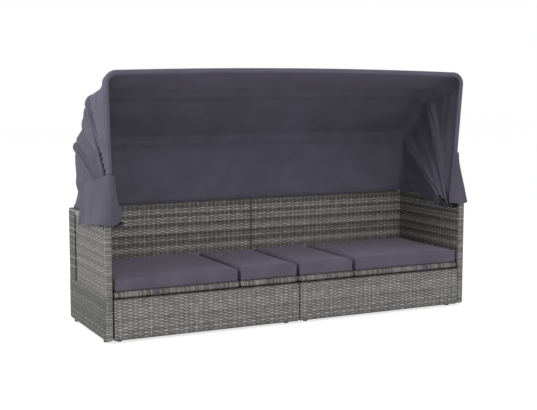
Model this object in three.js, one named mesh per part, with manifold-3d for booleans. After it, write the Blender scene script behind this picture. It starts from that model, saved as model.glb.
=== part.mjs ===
// Outdoor daybed with a folding canopy: woven panels on two steel seat frames, two seat boards
// that stay down, two that tilt up as backrests on propping stays, four cushions, and a fabric
// canopy over three hoops that turn on one bolt at each arm.
// Millimetres, +Z up, X along the seat, front towards -Y, origin on the floor under the middle.
import * as THREE from 'three';
import { mergeVertices } from 'three/addons/utils/BufferGeometryUtils.js';
import Module from 'manifold-3d';

const wasm = await Module();
wasm.setup();

// Overall sizes
const WIDTH = 2000;
const DEPTH = 600;
const HEIGHT = 1266;
const ARM_HEIGHT = 574;
const APRON_HEIGHT = 207;
const SEAT_SPLIT = 322.5;
const TILT_LIMIT_DEG = 60;

// Gaps
const FIT = 0.3;
const BORE_PLAY = 0.3;
const OVERRUN = 5;
const HALF_GAP = 2;
const BOARD_GAP = 3;
const DECK_GAP = 3;
const APRON_END_GAP = 3;

// Woven panels
const ARM_THICK = 34;
const PANEL_THICK = 32;
const PANEL_LIFT = 12;
const PANEL_EDGE = 7;
const ARM_CORNER = 12;
const FIELD_DEPTH = 4;
const FIELD_BORDER = 13;
const POST_WIDTH = 108;
const LEDGE_RISE = 12;

// Steel seat frames and feet
const TUBE = 25;
const LEG_INSET_OUTER = 75;
const LEG_INSET_INNER = 55;
const EAR_THICK = 6;
const EAR_RADIUS = 9;
const EAR_INSET = 55;
const EAR_PLAY = 0.5;
const SLOT_END_PLAY = 2;
const FOOT_RADIUS = 13;
const FOOT_PLUG_RADIUS = 8;
const FOOT_PLUG_LENGTH = 16;
const FOOT_CHAMFER = 2;
const ARM_FOOT_INSET = 60;

// Seat boards and their hinge
const BOARD_THICK = 28;
const BOARD_BACK_GAP = 2;
const BOARD_END_GAP = 4;
const BOARD_CORNER = 16;
const HINGE_ROD_RADIUS = 4;
const ROD_REACH = 25;

// Stays: the bar under a backrest board that stands on two notched rails
const stayShares = { reach: 0.4, length: 0.449 };
const STAY_DROP = 25;
const STAY_INSET = 27.5;
const STAY_THICK = 4;
const STAY_HEIGHT = 16;
const STAY_PIN_RADIUS = 4;
const STAY_BAR_RADIUS = 5;
const STAY_BAR_PLAY = 1.2;
const BRACE_RADIUS = 4;
const LUG_THICK = 4;
const RAIL_THICK = 4;
const RAIL_DEPTH = 30;
const RAIL_EAR = 22;
const RAIL_EAR_DROP = 5;
const RAIL_PLAY = 0.8;
const RAIL_END_PLAY = 8;
const NOTCH_WIDTH = 16;
const NOTCH_DEPTH = 9;
const NOTCH_LEAN = 6;
const NOTCH_COUNT = 5;
const FIRST_NOTCH_DEG = 20;

// Cushions and straps
const CUSHION_THICK = 64;
const CUSHION_CROWN = 9;
const CUSHION_WAIST = 5;
const CUSHION_EDGE = 15;
const CUSHION_CORNER = 28;
const CUSHION_FRONT_INSET = 4;
const CUSHION_BACK_INSET = 3;
const CUSHION_GAP = 3;
const CUSHION_END_GAP = 8;
const STRAP_WIDTH = 33;
const STRAP_THICK = 1.6;
const STRAP_PLACE = 755;
const STRAP_START_DEG = 9;
const STRAP_BOTTOM_REACH = 26;

// Canopy hoops and their pivots
const PIVOT_INSET = 56;
const PIVOT_DROP = 26;
const HOOP_TUBE_RADIUS = 9.5;
const HOOP_BORE_RADIUS = 6.5;
const HOOP_CORNER = 50;
const HOOP_INSET = 24;
const HOOP_PITCH = 22;
const HOOP_TAIL = 13;
const HOOP_UPRIGHT = 18;
const SPIGOT_LENGTH = 40;
const SPIGOT_RADIUS = 8;
const HOOP_DEG = { front: -3, middle: 26, rear: 56 };
const HOOP_BOW = { front: 14, middle: 3, rear: 3 };
const REAR_HOOP_INSET = 22;
const middleHoopShare = 0.9394;
const PLATE_LENGTH = 90;
const PLATE_HEIGHT = 30;
const PLATE_THICK = 3;
const PLATE_CORNER = 8;
const PLATE_HEAD_RADIUS = 6;
const PLATE_HEAD_HEIGHT = 3;
const PLATE_HEAD_SPACING = 64;
const BOLT_RADIUS = 4;
const BOLT_HEAD_RADIUS = 7.5;
const BOLT_HEAD_HEIGHT = 6;
const COLLAR_RADIUS = 8;

// Canopy cloth
const CLOTH = 1.6;
const CLOTH_EDGE_GAP = 0.9;
const POCKET_START = 255;
const CLOTH_REACH = 18;
const HEM_RISE = 12;
const HEM_DROP = 22;
const HEM_INSET = 13;
const FOLD_DEPTH = 9;
const FOLD_COUNT = { canopy_front: 2, canopy_middle: 3, canopy_rear: 2 };
const TOP_SAG = 7;
const SKIRT_TOP_REACH = 115;
const SKIRT_HEM_REACH = 295;
const SKIRT_TOP_RISE = 228;
const SKIRT_TOP_FALL = 46;
const SKIRT_OUT = 20;
const SKIRT_FRONT_OUT = 12.4;
const SKIRT_FRONT_DROP = 14;
const SKIRT_REAR_DROP = 55;
const SKIRT_INNER_RISE = 4;
const SKIRT_INNER_INSET = 94;
const SKIRT_RIPPLE = 2.5;
const SKIRT_RIPPLES = 5;

// Facets
const ROUND_SIDES = 12;
const TUBE_SIDES = 10;
const BORE_SIDES = 8;
const EDGE_STEPS = 2;
const BOARD_EDGE_STEPS = 3;
const CORNER_STEPS = 2;
const HOOP_CORNER_STEPS = 6;
const BOW_STEPS = 4;
const SIDE_STEPS = 8;
const TOP_STEPS = 5;
const ACROSS_STEPS = 6;

// Places that follow from the sizes
const halfWidth = WIDTH / 2;
const halfDepth = DEPTH / 2;
const armInner = halfWidth - ARM_THICK;
const backInner = halfDepth - PANEL_THICK;
const deckBottom = APRON_HEIGHT + DECK_GAP;
const deckTop = deckBottom + BOARD_THICK;
const frameTop = deckBottom - FIT;
const railCentre = backInner - FIT - TUBE / 2;
const railInner = railCentre - TUBE / 2;
const hingeX = SEAT_SPLIT + BOARD_GAP / 2 + BOARD_THICK / 2;
const hingeZ = deckBottom + BOARD_THICK / 2;
const boardOuter = armInner - BOARD_END_GAP;
const boardFront = -halfDepth;
const boardBack = backInner - BOARD_BACK_GAP;
const earY = railInner - EAR_INSET + TUBE / 2;
const pivotY = -halfDepth + PIVOT_INSET;
const pivotZ = ARM_HEIGHT - PIVOT_DROP;
const clothOffset = HOOP_TUBE_RADIUS + FIT + CLOTH + FIT + CLOTH;
const sideX = halfWidth - HOOP_INSET + clothOffset;

// Finishes
const finish = (colour, roughness, metalness) =>
  new THREE.MeshStandardMaterial({ color: colour, roughness, metalness });
const wicker = () => finish(0x84847e, 0.55, 0);
const blackSteel = () => finish(0x1d1e20, 0.45, 0.6);
const zincSteel = () => finish(0xa4a6a8, 0.35, 0.9);
const blackPlastic = () => finish(0x17181a, 0.5, 0);
const cushionCloth = () => finish(0x57545f, 0.9, 0);
const canopyCloth = () => finish(0x545060, 0.85, 0);

const daybed = new THREE.Group();

// Volume that a closed geometry holds, negative when its faces point inwards
function signedVolume(geometry) {
  const place = geometry.attributes.position;
  const index = geometry.index;
  const [a, b, c] = [new THREE.Vector3(), new THREE.Vector3(), new THREE.Vector3()];
  let volume = 0;
  for (let i = 0; i < index.count; i += 3) {
    a.fromBufferAttribute(place, index.getX(i));
    b.fromBufferAttribute(place, index.getX(i + 1));
    c.fromBufferAttribute(place, index.getX(i + 2));
    volume += a.dot(b.cross(c)) / 6;
  }
  return volume;
}

// Only shared positions are kept, with the faces turned outwards
function closed(geometry) {
  const bare = geometry.clone();
  bare.deleteAttribute('normal');
  bare.deleteAttribute('uv');
  const merged = mergeVertices(bare);
  if (signedVolume(merged) < 0) {
    const index = merged.index;
    for (let i = 0; i < index.count; i += 3) {
      const first = index.getX(i);
      index.setX(i, index.getX(i + 2));
      index.setX(i + 2, first);
    }
  }
  return merged;
}

function solid(geometry) {
  const source = closed(geometry);
  return new wasm.Manifold(new wasm.Mesh({
    numProp: 3,
    vertProperties: new Float32Array(source.attributes.position.array),
    triVerts: new Uint32Array(source.index.array),
  }));
}

function geometryOf(body) {
  const mesh = body.getMesh();
  const geometry = new THREE.BufferGeometry();
  geometry.setAttribute('position', new THREE.BufferAttribute(mesh.vertProperties, 3));
  geometry.setIndex(new THREE.BufferAttribute(mesh.triVerts, 1));
  return geometry;
}

function joined(geometries) {
  return geometryOf(geometries.map(solid).reduce((whole, next) => whole.add(next)));
}

function cut(geometry, tools) {
  return geometryOf(tools.map(solid).reduce((whole, tool) => whole.subtract(tool), solid(geometry)));
}

const mirrored = (geometry) => closed(geometry.clone().scale(-1, 1, 1));

function addPart(name, geometry, material) {
  const mesh = new THREE.Mesh(closed(geometry), material);
  mesh.name = name;
  daybed.add(mesh);
}

// A piece modelled on the right side, and its mirror image on the left
function addPair(name, geometry, material) {
  addPart(`${name}_right`, geometry, material());
  addPart(`${name}_left`, mirrored(geometry), material());
}

// Box between two corners
function box(low, high) {
  const size = high.map((value, i) => value - low[i]);
  const centre = high.map((value, i) => (value + low[i]) / 2);
  return new THREE.BoxGeometry(...size).translate(...centre);
}

// Round bar along x or y between two places on that axis
function bar(axis, from, to, centre, radius, sides = ROUND_SIDES) {
  const geometry = new THREE.CylinderGeometry(radius, radius, to - from, sides);
  if (axis === 'x') geometry.rotateZ(Math.PI / 2);
  const middle = (from + to) / 2;
  const [p, q] = centre;
  return axis === 'x' ? geometry.translate(middle, p, q) : geometry.translate(p, middle, q);
}

function roundedRectangle(width, height, radius) {
  const [x, y] = [width / 2, height / 2];
  const shape = new THREE.Shape();
  shape.moveTo(-x + radius, -y);
  shape.lineTo(x - radius, -y);
  shape.absarc(x - radius, -y + radius, radius, -Math.PI / 2, 0, false);
  shape.lineTo(x, y - radius);
  shape.absarc(x - radius, y - radius, radius, 0, Math.PI / 2, false);
  shape.lineTo(-x + radius, y);
  shape.absarc(-x + radius, y - radius, radius, Math.PI / 2, Math.PI, false);
  shape.lineTo(-x, -y + radius);
  shape.absarc(-x + radius, -y + radius, radius, Math.PI, 3 * Math.PI / 2, false);
  return shape;
}

// Slab between two corners, thin along one axis, with rounded corners and rolled edges
function slab(low, high, thin, corner, edge, edgeSteps) {
  const [a, b] = { x: [1, 2], y: [0, 2], z: [0, 1] }[thin];
  const c = { x: 0, y: 1, z: 2 }[thin];
  const [width, height, thick] = [high[a] - low[a], high[b] - low[b], high[c] - low[c]];
  const outline = roundedRectangle(width - 2 * edge, height - 2 * edge, corner - edge);
  const geometry = new THREE.ExtrudeGeometry(outline, {
    depth: thick - 2 * edge,
    bevelThickness: edge,
    bevelSize: edge,
    bevelSegments: edgeSteps,
    curveSegments: CORNER_STEPS,
  });
  geometry.translate(0, 0, edge - thick / 2);
  if (thin !== 'z') geometry.rotateX(Math.PI / 2);
  if (thin === 'x') geometry.rotateZ(Math.PI / 2);
  return geometry.translate(...low.map((value, i) => (value + high[i]) / 2));
}

// End panel: slab over the whole depth, with its upper outer field let in between the borders
function armPanel() {
  const panel = slab([armInner, -halfDepth, PANEL_LIFT], [halfWidth, halfDepth, ARM_HEIGHT],
    'x', ARM_CORNER, PANEL_EDGE, EDGE_STEPS);
  const field = box(
    [halfWidth - FIELD_DEPTH, -halfDepth + FIELD_BORDER, APRON_HEIGHT + LEDGE_RISE],
    [halfWidth + OVERRUN, halfDepth - POST_WIDTH, ARM_HEIGHT - FIELD_BORDER * 2]);
  const pivotBore = bar('x', armInner - OVERRUN, halfWidth + OVERRUN, [pivotY, pivotZ],
    BOLT_RADIUS + BORE_PLAY);
  const footBores = [-1, 1].map((end) => footBore(halfWidth - ARM_THICK / 2,
    end * (halfDepth - ARM_FOOT_INSET)));
  return cut(panel, [field, pivotBore, ...footBores]);
}

// Apron or back: slab between the middle seam and the arm
function longPanel(front, bottom, top) {
  const back = front + PANEL_THICK;
  const end = armInner - (top > APRON_HEIGHT ? FIT : APRON_END_GAP);
  return slab([HALF_GAP / 2, front, bottom], [end, back, top],
    'y', PANEL_EDGE * 1.2, PANEL_EDGE, EDGE_STEPS);
}

function footBore(x, y) {
  const depth = FOOT_PLUG_LENGTH + FIT;
  return new THREE.CylinderGeometry(FOOT_PLUG_RADIUS + FIT, FOOT_PLUG_RADIUS + FIT,
    depth + OVERRUN, ROUND_SIDES)
    .rotateX(Math.PI / 2)
    .translate(x, y, PANEL_LIFT + (depth - OVERRUN) / 2);
}

// Glide: a disc on the floor with a plug that goes up into the leg or panel
function foot(x, y) {
  const top = PANEL_LIFT - FIT;
  const profile = [
    [0, 0],
    [FOOT_RADIUS - FOOT_CHAMFER, 0],
    [FOOT_RADIUS, FOOT_CHAMFER],
    [FOOT_RADIUS, top],
    [FOOT_PLUG_RADIUS, top],
    [FOOT_PLUG_RADIUS, PANEL_LIFT + FOOT_PLUG_LENGTH],
    [0, PANEL_LIFT + FOOT_PLUG_LENGTH],
  ].map(([radius, height]) => new THREE.Vector2(radius, height));
  return new THREE.LatheGeometry(profile, ROUND_SIDES).rotateX(Math.PI / 2).translate(x, y, 0);
}

// Welded square-tube frame of one half, with the two ears that carry the backrest hinge
function seatFrame() {
  const low = frameTop - TUBE;
  const [inner, outer] = [HALF_GAP / 2, armInner - FIT];
  const acrossAt = (x) => box([x, -railCentre, low], [x + TUBE, railCentre, frameTop]);
  const rail = (y) => box([inner, y - TUBE / 2, low], [outer, y + TUBE / 2, frameTop]);
  const leg = (x, y) => box([x - TUBE / 2, y - TUBE / 2, PANEL_LIFT],
    [x + TUBE / 2, y + TUBE / 2, low + TUBE / 2]);
  const legPlaces = [-1, 1].flatMap((side) => [LEG_INSET_INNER, halfWidth - LEG_INSET_OUTER]
    .map((x) => [x, side * railCentre]));
  const ear = (y) => [
    box([hingeX - EAR_RADIUS, y - EAR_THICK / 2, frameTop - TUBE / 2],
      [hingeX + EAR_RADIUS, y + EAR_THICK / 2, hingeZ]),
    bar('y', y - EAR_THICK / 2, y + EAR_THICK / 2, [hingeX, hingeZ], EAR_RADIUS),
  ];
  const steel = joined([
    rail(-railCentre),
    rail(railCentre),
    acrossAt(inner),
    acrossAt(hingeX - TUBE / 2),
    acrossAt(outer - TUBE),
    ...legPlaces.map(([x, y]) => leg(x, y)),
    ...ear(-earY),
    ...ear(earY),
  ]);
  const bores = legPlaces.map(([x, y]) => footBore(x, y));
  const hingeBore = bar('y', -earY - EAR_THICK, earY + EAR_THICK, [hingeX, hingeZ],
    HINGE_ROD_RADIUS + BORE_PLAY);
  return cut(steel, [...bores, hingeBore]);
}

// Board with fully rolled edges; the tilting one is slotted for the ears and bored for its rod
function fixedBoard() {
  return slab([HALF_GAP / 2, boardFront, deckBottom],
    [SEAT_SPLIT - BOARD_GAP / 2, boardBack, deckTop],
    'z', BOARD_CORNER, BOARD_THICK / 2, BOARD_EDGE_STEPS);
}

function backrestBoard() {
  const inner = SEAT_SPLIT + BOARD_GAP / 2;
  const board = slab([inner, boardFront, deckBottom], [boardOuter, boardBack, deckTop],
    'z', BOARD_CORNER, BOARD_THICK / 2, BOARD_EDGE_STEPS);
  const lugs = [-1, 1].flatMap((side) => stayLug(side));
  const slots = [-1, 1].map((side) => box(
    [inner - OVERRUN, side * earY - EAR_THICK / 2 - EAR_PLAY, deckBottom - OVERRUN],
    [hingeX + EAR_RADIUS + SLOT_END_PLAY, side * earY + EAR_THICK / 2 + EAR_PLAY,
      deckTop + OVERRUN]));
  const rodBore = bar('y', -earY - ROD_REACH - FIT, earY + ROD_REACH + FIT, [hingeX, hingeZ],
    HINGE_ROD_RADIUS + BORE_PLAY);
  const pinBore = bar('y', -railInner, railInner, [stayX, stayZ], STAY_PIN_RADIUS + BORE_PLAY);
  return cut(joined([board, ...lugs]), [...slots, rodBore, pinBore]);
}

function hingeRod() {
  return bar('y', -earY - ROD_REACH, earY + ROD_REACH, [hingeX, hingeZ], HINGE_ROD_RADIUS);
}

// Stay, drawn folded flat under its board
const boardArm = boardOuter - hingeX;
const stayReach = boardArm * stayShares.reach;
const stayLength = boardArm * stayShares.length;
const stayX = hingeX + stayReach;
const stayZ = hingeZ - STAY_DROP;
const stayY = railInner - STAY_INSET;
const lugY = stayY + STAY_THICK / 2 + FIT + LUG_THICK / 2;

function stayLug(side) {
  const half = STAY_HEIGHT / 2;
  const [near, far] = [side * lugY - LUG_THICK / 2, side * lugY + LUG_THICK / 2];
  return [
    box([stayX - half, near, stayZ], [stayX + half, far, deckBottom + BOARD_THICK / 2]),
    bar('y', near, far, [stayX, stayZ], half),
  ];
}

function stay() {
  const footX = stayX + stayLength;
  const half = STAY_HEIGHT / 2;
  const strip = (side) => {
    const [near, far] = [side * stayY - STAY_THICK / 2, side * stayY + STAY_THICK / 2];
    return [
      box([stayX, near, stayZ - half], [footX, far, stayZ + half]),
      bar('y', near, far, [stayX, stayZ], half),
      bar('y', near, far, [footX, stayZ], half),
    ];
  };
  const pinEnd = lugY + LUG_THICK / 2 + BORE_PLAY;
  const pins = [-1, 1].map((side) => bar('y', ...[side * stayY, side * pinEnd].sort((a, b) => a - b),
    [stayX, stayZ], STAY_PIN_RADIUS));
  const barEnd = railInner - STAY_BAR_PLAY;
  return joined([
    ...strip(-1),
    ...strip(1),
    ...pins,
    bar('y', -barEnd, barEnd, [footX, stayZ], STAY_BAR_RADIUS),
    bar('y', -stayY, stayY, [stayX + stayLength / 2, stayZ], BRACE_RADIUS),
  ]);
}

// Where the stay's bar stands when its board is tilted: the stay turns back twice as fast
function barPlace(degrees) {
  const turn = THREE.MathUtils.degToRad(degrees);
  const along = (stayReach + stayLength) * Math.cos(turn) + STAY_DROP * Math.sin(turn);
  const down = STAY_DROP * Math.cos(turn) + (stayLength - stayReach) * Math.sin(turn);
  return [hingeX + along, hingeZ - down];
}

function lowestBar() {
  const heights = [];
  for (let degrees = 0; degrees <= TILT_LIMIT_DEG; degrees += 1) heights.push(barPlace(degrees)[1]);
  return Math.min(...heights);
}

// Rail with one leaning notch for each rest of the backrest, spaced as the bar travels
function notchedRail(side) {
  const tips = lowestBar() - STAY_BAR_RADIUS - RAIL_PLAY;
  const earTop = frameTop - RAIL_EAR_DROP;
  const [firstX] = barPlace(0);
  const [lastX] = barPlace(TILT_LIMIT_DEG);
  const innerEar = lastX - STAY_BAR_RADIUS - RAIL_END_PLAY;
  const outerEar = firstX + STAY_HEIGHT / 2 + RAIL_END_PLAY;
  const outline = new THREE.Shape();
  outline.moveTo(innerEar - RAIL_EAR, tips - RAIL_DEPTH);
  outline.lineTo(outerEar + RAIL_EAR, tips - RAIL_DEPTH);
  outline.lineTo(outerEar + RAIL_EAR, earTop);
  outline.lineTo(outerEar, earTop);
  outline.lineTo(outerEar, tips);
  const step = (TILT_LIMIT_DEG - FIRST_NOTCH_DEG) / (NOTCH_COUNT - 1);
  for (let i = 0; i < NOTCH_COUNT; i += 1) {
    const [x] = barPlace(FIRST_NOTCH_DEG + i * step);
    outline.lineTo(x + NOTCH_WIDTH / 2, tips);
    outline.lineTo(x + NOTCH_WIDTH / 2 - NOTCH_LEAN / 2, tips - NOTCH_DEPTH);
    outline.lineTo(x - NOTCH_WIDTH / 2 + NOTCH_LEAN, tips - NOTCH_DEPTH);
    outline.lineTo(x - NOTCH_WIDTH / 2, tips);
  }
  outline.lineTo(innerEar, tips);
  outline.lineTo(innerEar, earTop);
  outline.lineTo(innerEar - RAIL_EAR, earTop);
  const face = side * (railInner - FIT - (side > 0 ? 0 : RAIL_THICK));
  return new THREE.ExtrudeGeometry(outline, { depth: RAIL_THICK, bevelEnabled: false })
    .rotateX(Math.PI / 2)
    .translate(0, face, 0);
}

// One ring of a cushion's outline: a rounded rectangle whose sides draw in between the corners
function cushionRing(width, depth, inset, waist) {
  const shape = roundedRectangle(width - 2 * inset, depth - 2 * inset,
    Math.max(CUSHION_CORNER - inset / 2, CUSHION_EDGE));
  const points = [];
  const [x, y] = [width / 2 - inset, depth / 2 - inset];
  shape.getPoints(CORNER_STEPS).slice(0, -1).forEach((point, i, all) => {
    const next = all[(i + 1) % all.length];
    const span = point.distanceTo(next);
    const pieces = span > CUSHION_CORNER * 2 ? SIDE_STEPS / 2 : 1;
    for (let k = 0; k < pieces; k += 1) points.push(point.clone().lerp(next, k / pieces));
  });
  return points.map((point) => {
    const alongX = Math.abs(Math.abs(point.y) - y) < FIT ? 1 - (point.x / x) ** 2 : 0;
    const alongY = Math.abs(Math.abs(point.x) - x) < FIT ? 1 - (point.y / y) ** 2 : 0;
    return new THREE.Vector2(point.x - Math.sign(point.x) * waist * alongY,
      point.y - Math.sign(point.y) * waist * alongX);
  });
}

// Cushion: flat below, drawn-in sides, rolled top edge and a low crown
function cushion(x0, x1) {
  const [y0, y1] = [boardFront + CUSHION_FRONT_INSET, boardBack - CUSHION_BACK_INSET];
  const [width, depth] = [x1 - x0, y1 - y0];
  const base = deckTop + FIT;
  const sideTop = CUSHION_THICK - CUSHION_CROWN;
  const crownAt = (share) => sideTop + CUSHION_CROWN * (1 - share ** 3);
  const inner = Math.min(width, depth) / 2;
  const insetShares = [0.3, 0.62];
  const rings = [
    [CUSHION_EDGE * 0.7, 0, 0],
    [0, CUSHION_EDGE * 0.7, CUSHION_WAIST / 2],
    [0, sideTop / 2, CUSHION_WAIST],
    [0, sideTop - CUSHION_EDGE, CUSHION_WAIST / 2],
    [CUSHION_EDGE * 0.3, sideTop - CUSHION_EDGE * 0.35, CUSHION_WAIST / 2],
    [CUSHION_EDGE, sideTop, CUSHION_WAIST / 3],
    ...insetShares.map((share) => [inner * share, crownAt(1 - share), 0]),
  ];
  const points = rings.map(([inset, height, waist]) => cushionRing(width, depth, inset, waist)
    .map((point) => new THREE.Vector3(point.x, point.y, height)));
  return loft(points, new THREE.Vector3(0, 0, 0), new THREE.Vector3(0, 0, CUSHION_THICK))
    .translate((x0 + x1) / 2, (y0 + y1) / 2, base);
}

// Closed skin over rings of equal count, with a middle point closing each end
function loft(rings, first, last) {
  const count = rings[0].length;
  const points = [first, ...rings.flat(), last];
  const faces = [];
  const at = (ring, k) => 1 + ring * count + (k % count);
  for (let k = 0; k < count; k += 1) {
    faces.push(0, at(0, k + 1), at(0, k));
    for (let ring = 0; ring < rings.length - 1; ring += 1) {
      faces.push(at(ring, k), at(ring, k + 1), at(ring + 1, k + 1));
      faces.push(at(ring, k), at(ring + 1, k + 1), at(ring + 1, k));
    }
    faces.push(points.length - 1, at(rings.length - 1, k), at(rings.length - 1, k + 1));
  }
  const geometry = new THREE.BufferGeometry().setFromPoints(points);
  geometry.setIndex(faces);
  return geometry;
}

// Strap from a backrest cushion's lower front edge, round the board's edge and under it
function strap() {
  const half = BOARD_THICK / 2;
  const centre = [boardFront + half, hingeZ];
  const start = Math.PI / 2 + THREE.MathUtils.degToRad(STRAP_START_DEG);
  const bottom = deckBottom - FIT;
  const end = boardFront + STRAP_BOTTOM_REACH;
  const outline = new THREE.Shape();
  outline.absarc(...centre, half + FIT + STRAP_THICK, start, Math.PI * 1.5, false);
  outline.lineTo(end, bottom - STRAP_THICK);
  outline.lineTo(end, bottom);
  outline.absarc(...centre, half + FIT, Math.PI * 1.5, start, true);
  return new THREE.ExtrudeGeometry(outline,
    { depth: STRAP_WIDTH, bevelEnabled: false, curveSegments: HOOP_CORNER_STEPS })
    .rotateX(Math.PI / 2)
    .rotateZ(Math.PI / 2)
    .translate(STRAP_PLACE - STRAP_WIDTH / 2, 0, 0);
}

// Canopy hoops. A place is given by x and by its distance from the pivot, in the hoop's plane
const frontReach = (HEIGHT - clothOffset - pivotZ)
  / Math.cos(THREE.MathUtils.degToRad(HOOP_DEG.front)) - HOOP_BOW.front;
const rearReach = (halfDepth - REAR_HOOP_INSET - pivotY)
  / Math.sin(THREE.MathUtils.degToRad(HOOP_DEG.rear));
const hoopReach = { front: frontReach, middle: frontReach * middleHoopShare, rear: rearReach };
const hoopOrder = ['front', 'middle', 'rear'];

function hoopPoint(hoop, x, distance) {
  const turn = THREE.MathUtils.degToRad(HOOP_DEG[hoop]);
  return new THREE.Vector3(x, pivotY + distance * Math.sin(turn),
    pivotZ + distance * Math.cos(turn));
}

// Place on the top run, which bows upwards from its corners to the middle
function topPoint(hoop, x, growth) {
  const share = x / (halfWidth - HOOP_INSET - HOOP_CORNER);
  return hoopPoint(hoop, x, hoopReach[hoop] + growth + HOOP_BOW[hoop] * (1 - share * share));
}

const legFootX = (hoop) => armInner - PLATE_THICK - FIT - FIT - HOOP_TUBE_RADIUS
  - 2 * FIT - HOOP_PITCH * hoopOrder.indexOf(hoop);

// Path through chosen stations, so that straight runs need none between their ends
class StationPath extends THREE.Curve {
  constructor(stations) {
    super();
    this.stations = stations;
  }

  getPoint(t, target = new THREE.Vector3()) {
    const last = this.stations.length - 1;
    const i = Math.min(Math.floor(t * last + 1e-9), last - 1);
    return target.lerpVectors(this.stations[i], this.stations[i + 1], t * last - i);
  }

  getPointAt(t, target) {
    return this.getPoint(t, target);
  }

  getTangentAt(t, target = new THREE.Vector3()) {
    const last = this.stations.length - 1;
    const i = Math.round(t * last);
    const ahead = this.stations[Math.min(i + 1, last)];
    return target.subVectors(ahead, this.stations[Math.max(i - 1, 0)]).normalize();
  }
}

function polygon(radius, sides) {
  const points = [];
  for (let i = 0; i < sides; i += 1) {
    const turn = 2 * Math.PI * (i + 0.5) / sides;
    points.push(new THREE.Vector2(radius * Math.cos(turn), radius * Math.sin(turn)));
  }
  return new THREE.Shape(points);
}

function sweep(stations, radius, sides) {
  return new THREE.ExtrudeGeometry(polygon(radius, sides), {
    steps: stations.length - 1,
    extrudePath: new StationPath(stations),
    bevelEnabled: false,
  });
}

// Leg of a hoop: upright at the pivot, then leaning outwards to the corner
function legPlace(hoop, distance, growth) {
  const legTop = hoopReach[hoop] - HOOP_CORNER;
  const share = Math.max(0, (distance - HOOP_UPRIGHT) / (legTop - HOOP_UPRIGHT));
  const [footX, topX] = [legFootX(hoop), halfWidth - HOOP_INSET];
  return hoopPoint(hoop, footX + (topX - footX) * share + growth, distance);
}

// Stations of half a hoop: up the leg, round the corner and along the top to the middle
function hoopStations(hoop, start, end, growth = 0) {
  const stations = [legPlace(hoop, start, growth)];
  if (start < HOOP_UPRIGHT) stations.push(legPlace(hoop, HOOP_UPRIGHT, growth));
  const corner = HOOP_CORNER + growth;
  const [cornerX, legTop] = [halfWidth - HOOP_INSET - HOOP_CORNER, hoopReach[hoop] - HOOP_CORNER];
  for (let i = 0; i <= HOOP_CORNER_STEPS; i += 1) {
    const turn = Math.PI / 2 * i / HOOP_CORNER_STEPS;
    stations.push(hoopPoint(hoop, cornerX + corner * Math.cos(turn),
      legTop + corner * Math.sin(turn)));
  }
  for (let i = 1; i < BOW_STEPS; i += 1) {
    stations.push(topPoint(hoop, cornerX * (1 - i / BOW_STEPS), growth));
  }
  stations.push(topPoint(hoop, end, growth));
  return stations;
}

// Half hoop: bored tube, drilled for the pivot bolt; one half's end is a spigot for the other
function halfHoop(hoop, withSpigot) {
  const tubeEnd = HALF_GAP / 2;
  const tube = sweep(hoopStations(hoop, -HOOP_TAIL, tubeEnd), HOOP_TUBE_RADIUS, TUBE_SIDES);
  const boreStart = BOLT_HEAD_RADIUS + HOOP_TAIL;
  const boreEnd = withSpigot ? -SPIGOT_LENGTH - OVERRUN : -OVERRUN;
  const bore = sweep(hoopStations(hoop, boreStart, boreEnd), HOOP_BORE_RADIUS, BORE_SIDES);
  const pivotBore = bar('x', legFootX(hoop) - 2 * HOOP_TUBE_RADIUS,
    legFootX(hoop) + 2 * HOOP_TUBE_RADIUS, [pivotY, pivotZ], BOLT_RADIUS + BORE_PLAY);
  const middle = topPoint(hoop, 0, 0);
  const endBar = (from, to, radius) => bar('x', from, to, [middle.y, middle.z], radius);
  if (withSpigot) {
    const spigot = endBar(-SPIGOT_LENGTH, tubeEnd + SPIGOT_LENGTH, SPIGOT_RADIUS - FIT);
    return cut(joined([tube, spigot]), [bore, pivotBore]);
  }
  const socket = endBar(-OVERRUN, SPIGOT_LENGTH + FIT + HALF_GAP, SPIGOT_RADIUS + FIT);
  return cut(tube, [bore, socket, pivotBore]);
}

// Pivot plates either side of the arm, the outer one with two domed bolt heads
function pivotPlate(outer) {
  const face = outer ? halfWidth + FIT : armInner - FIT - PLATE_THICK;
  const half = [PLATE_LENGTH / 2, PLATE_HEIGHT / 2];
  const plate = new THREE.ExtrudeGeometry(
    roundedRectangle(half[0] * 2, half[1] * 2, PLATE_CORNER),
    { depth: PLATE_THICK, bevelEnabled: false, curveSegments: CORNER_STEPS })
    .rotateX(Math.PI / 2)
    .rotateZ(Math.PI / 2)
    .translate(face, pivotY, pivotZ);
  const bore = bar('x', face - OVERRUN, face + PLATE_THICK + OVERRUN, [pivotY, pivotZ],
    BOLT_RADIUS + BORE_PLAY);
  if (!outer) return cut(plate, [bore]);
  const heads = [-1, 1].map((side) => dome(face + PLATE_THICK, pivotY + side
    * PLATE_HEAD_SPACING / 2, pivotZ));
  return cut(joined([plate, ...heads]), [bore]);
}

// Low domed head facing outwards
function dome(x, y, z) {
  const profile = [
    [0, -PLATE_THICK / 2],
    [PLATE_HEAD_RADIUS, -PLATE_THICK / 2],
    [PLATE_HEAD_RADIUS, PLATE_HEAD_HEIGHT / 3],
    [PLATE_HEAD_RADIUS * 0.7, PLATE_HEAD_HEIGHT * 0.8],
    [0, PLATE_HEAD_HEIGHT],
  ].map(([radius, height]) => new THREE.Vector2(radius, height));
  return new THREE.LatheGeometry(profile, ROUND_SIDES).rotateZ(-Math.PI / 2).translate(x, y, z);
}

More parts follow.
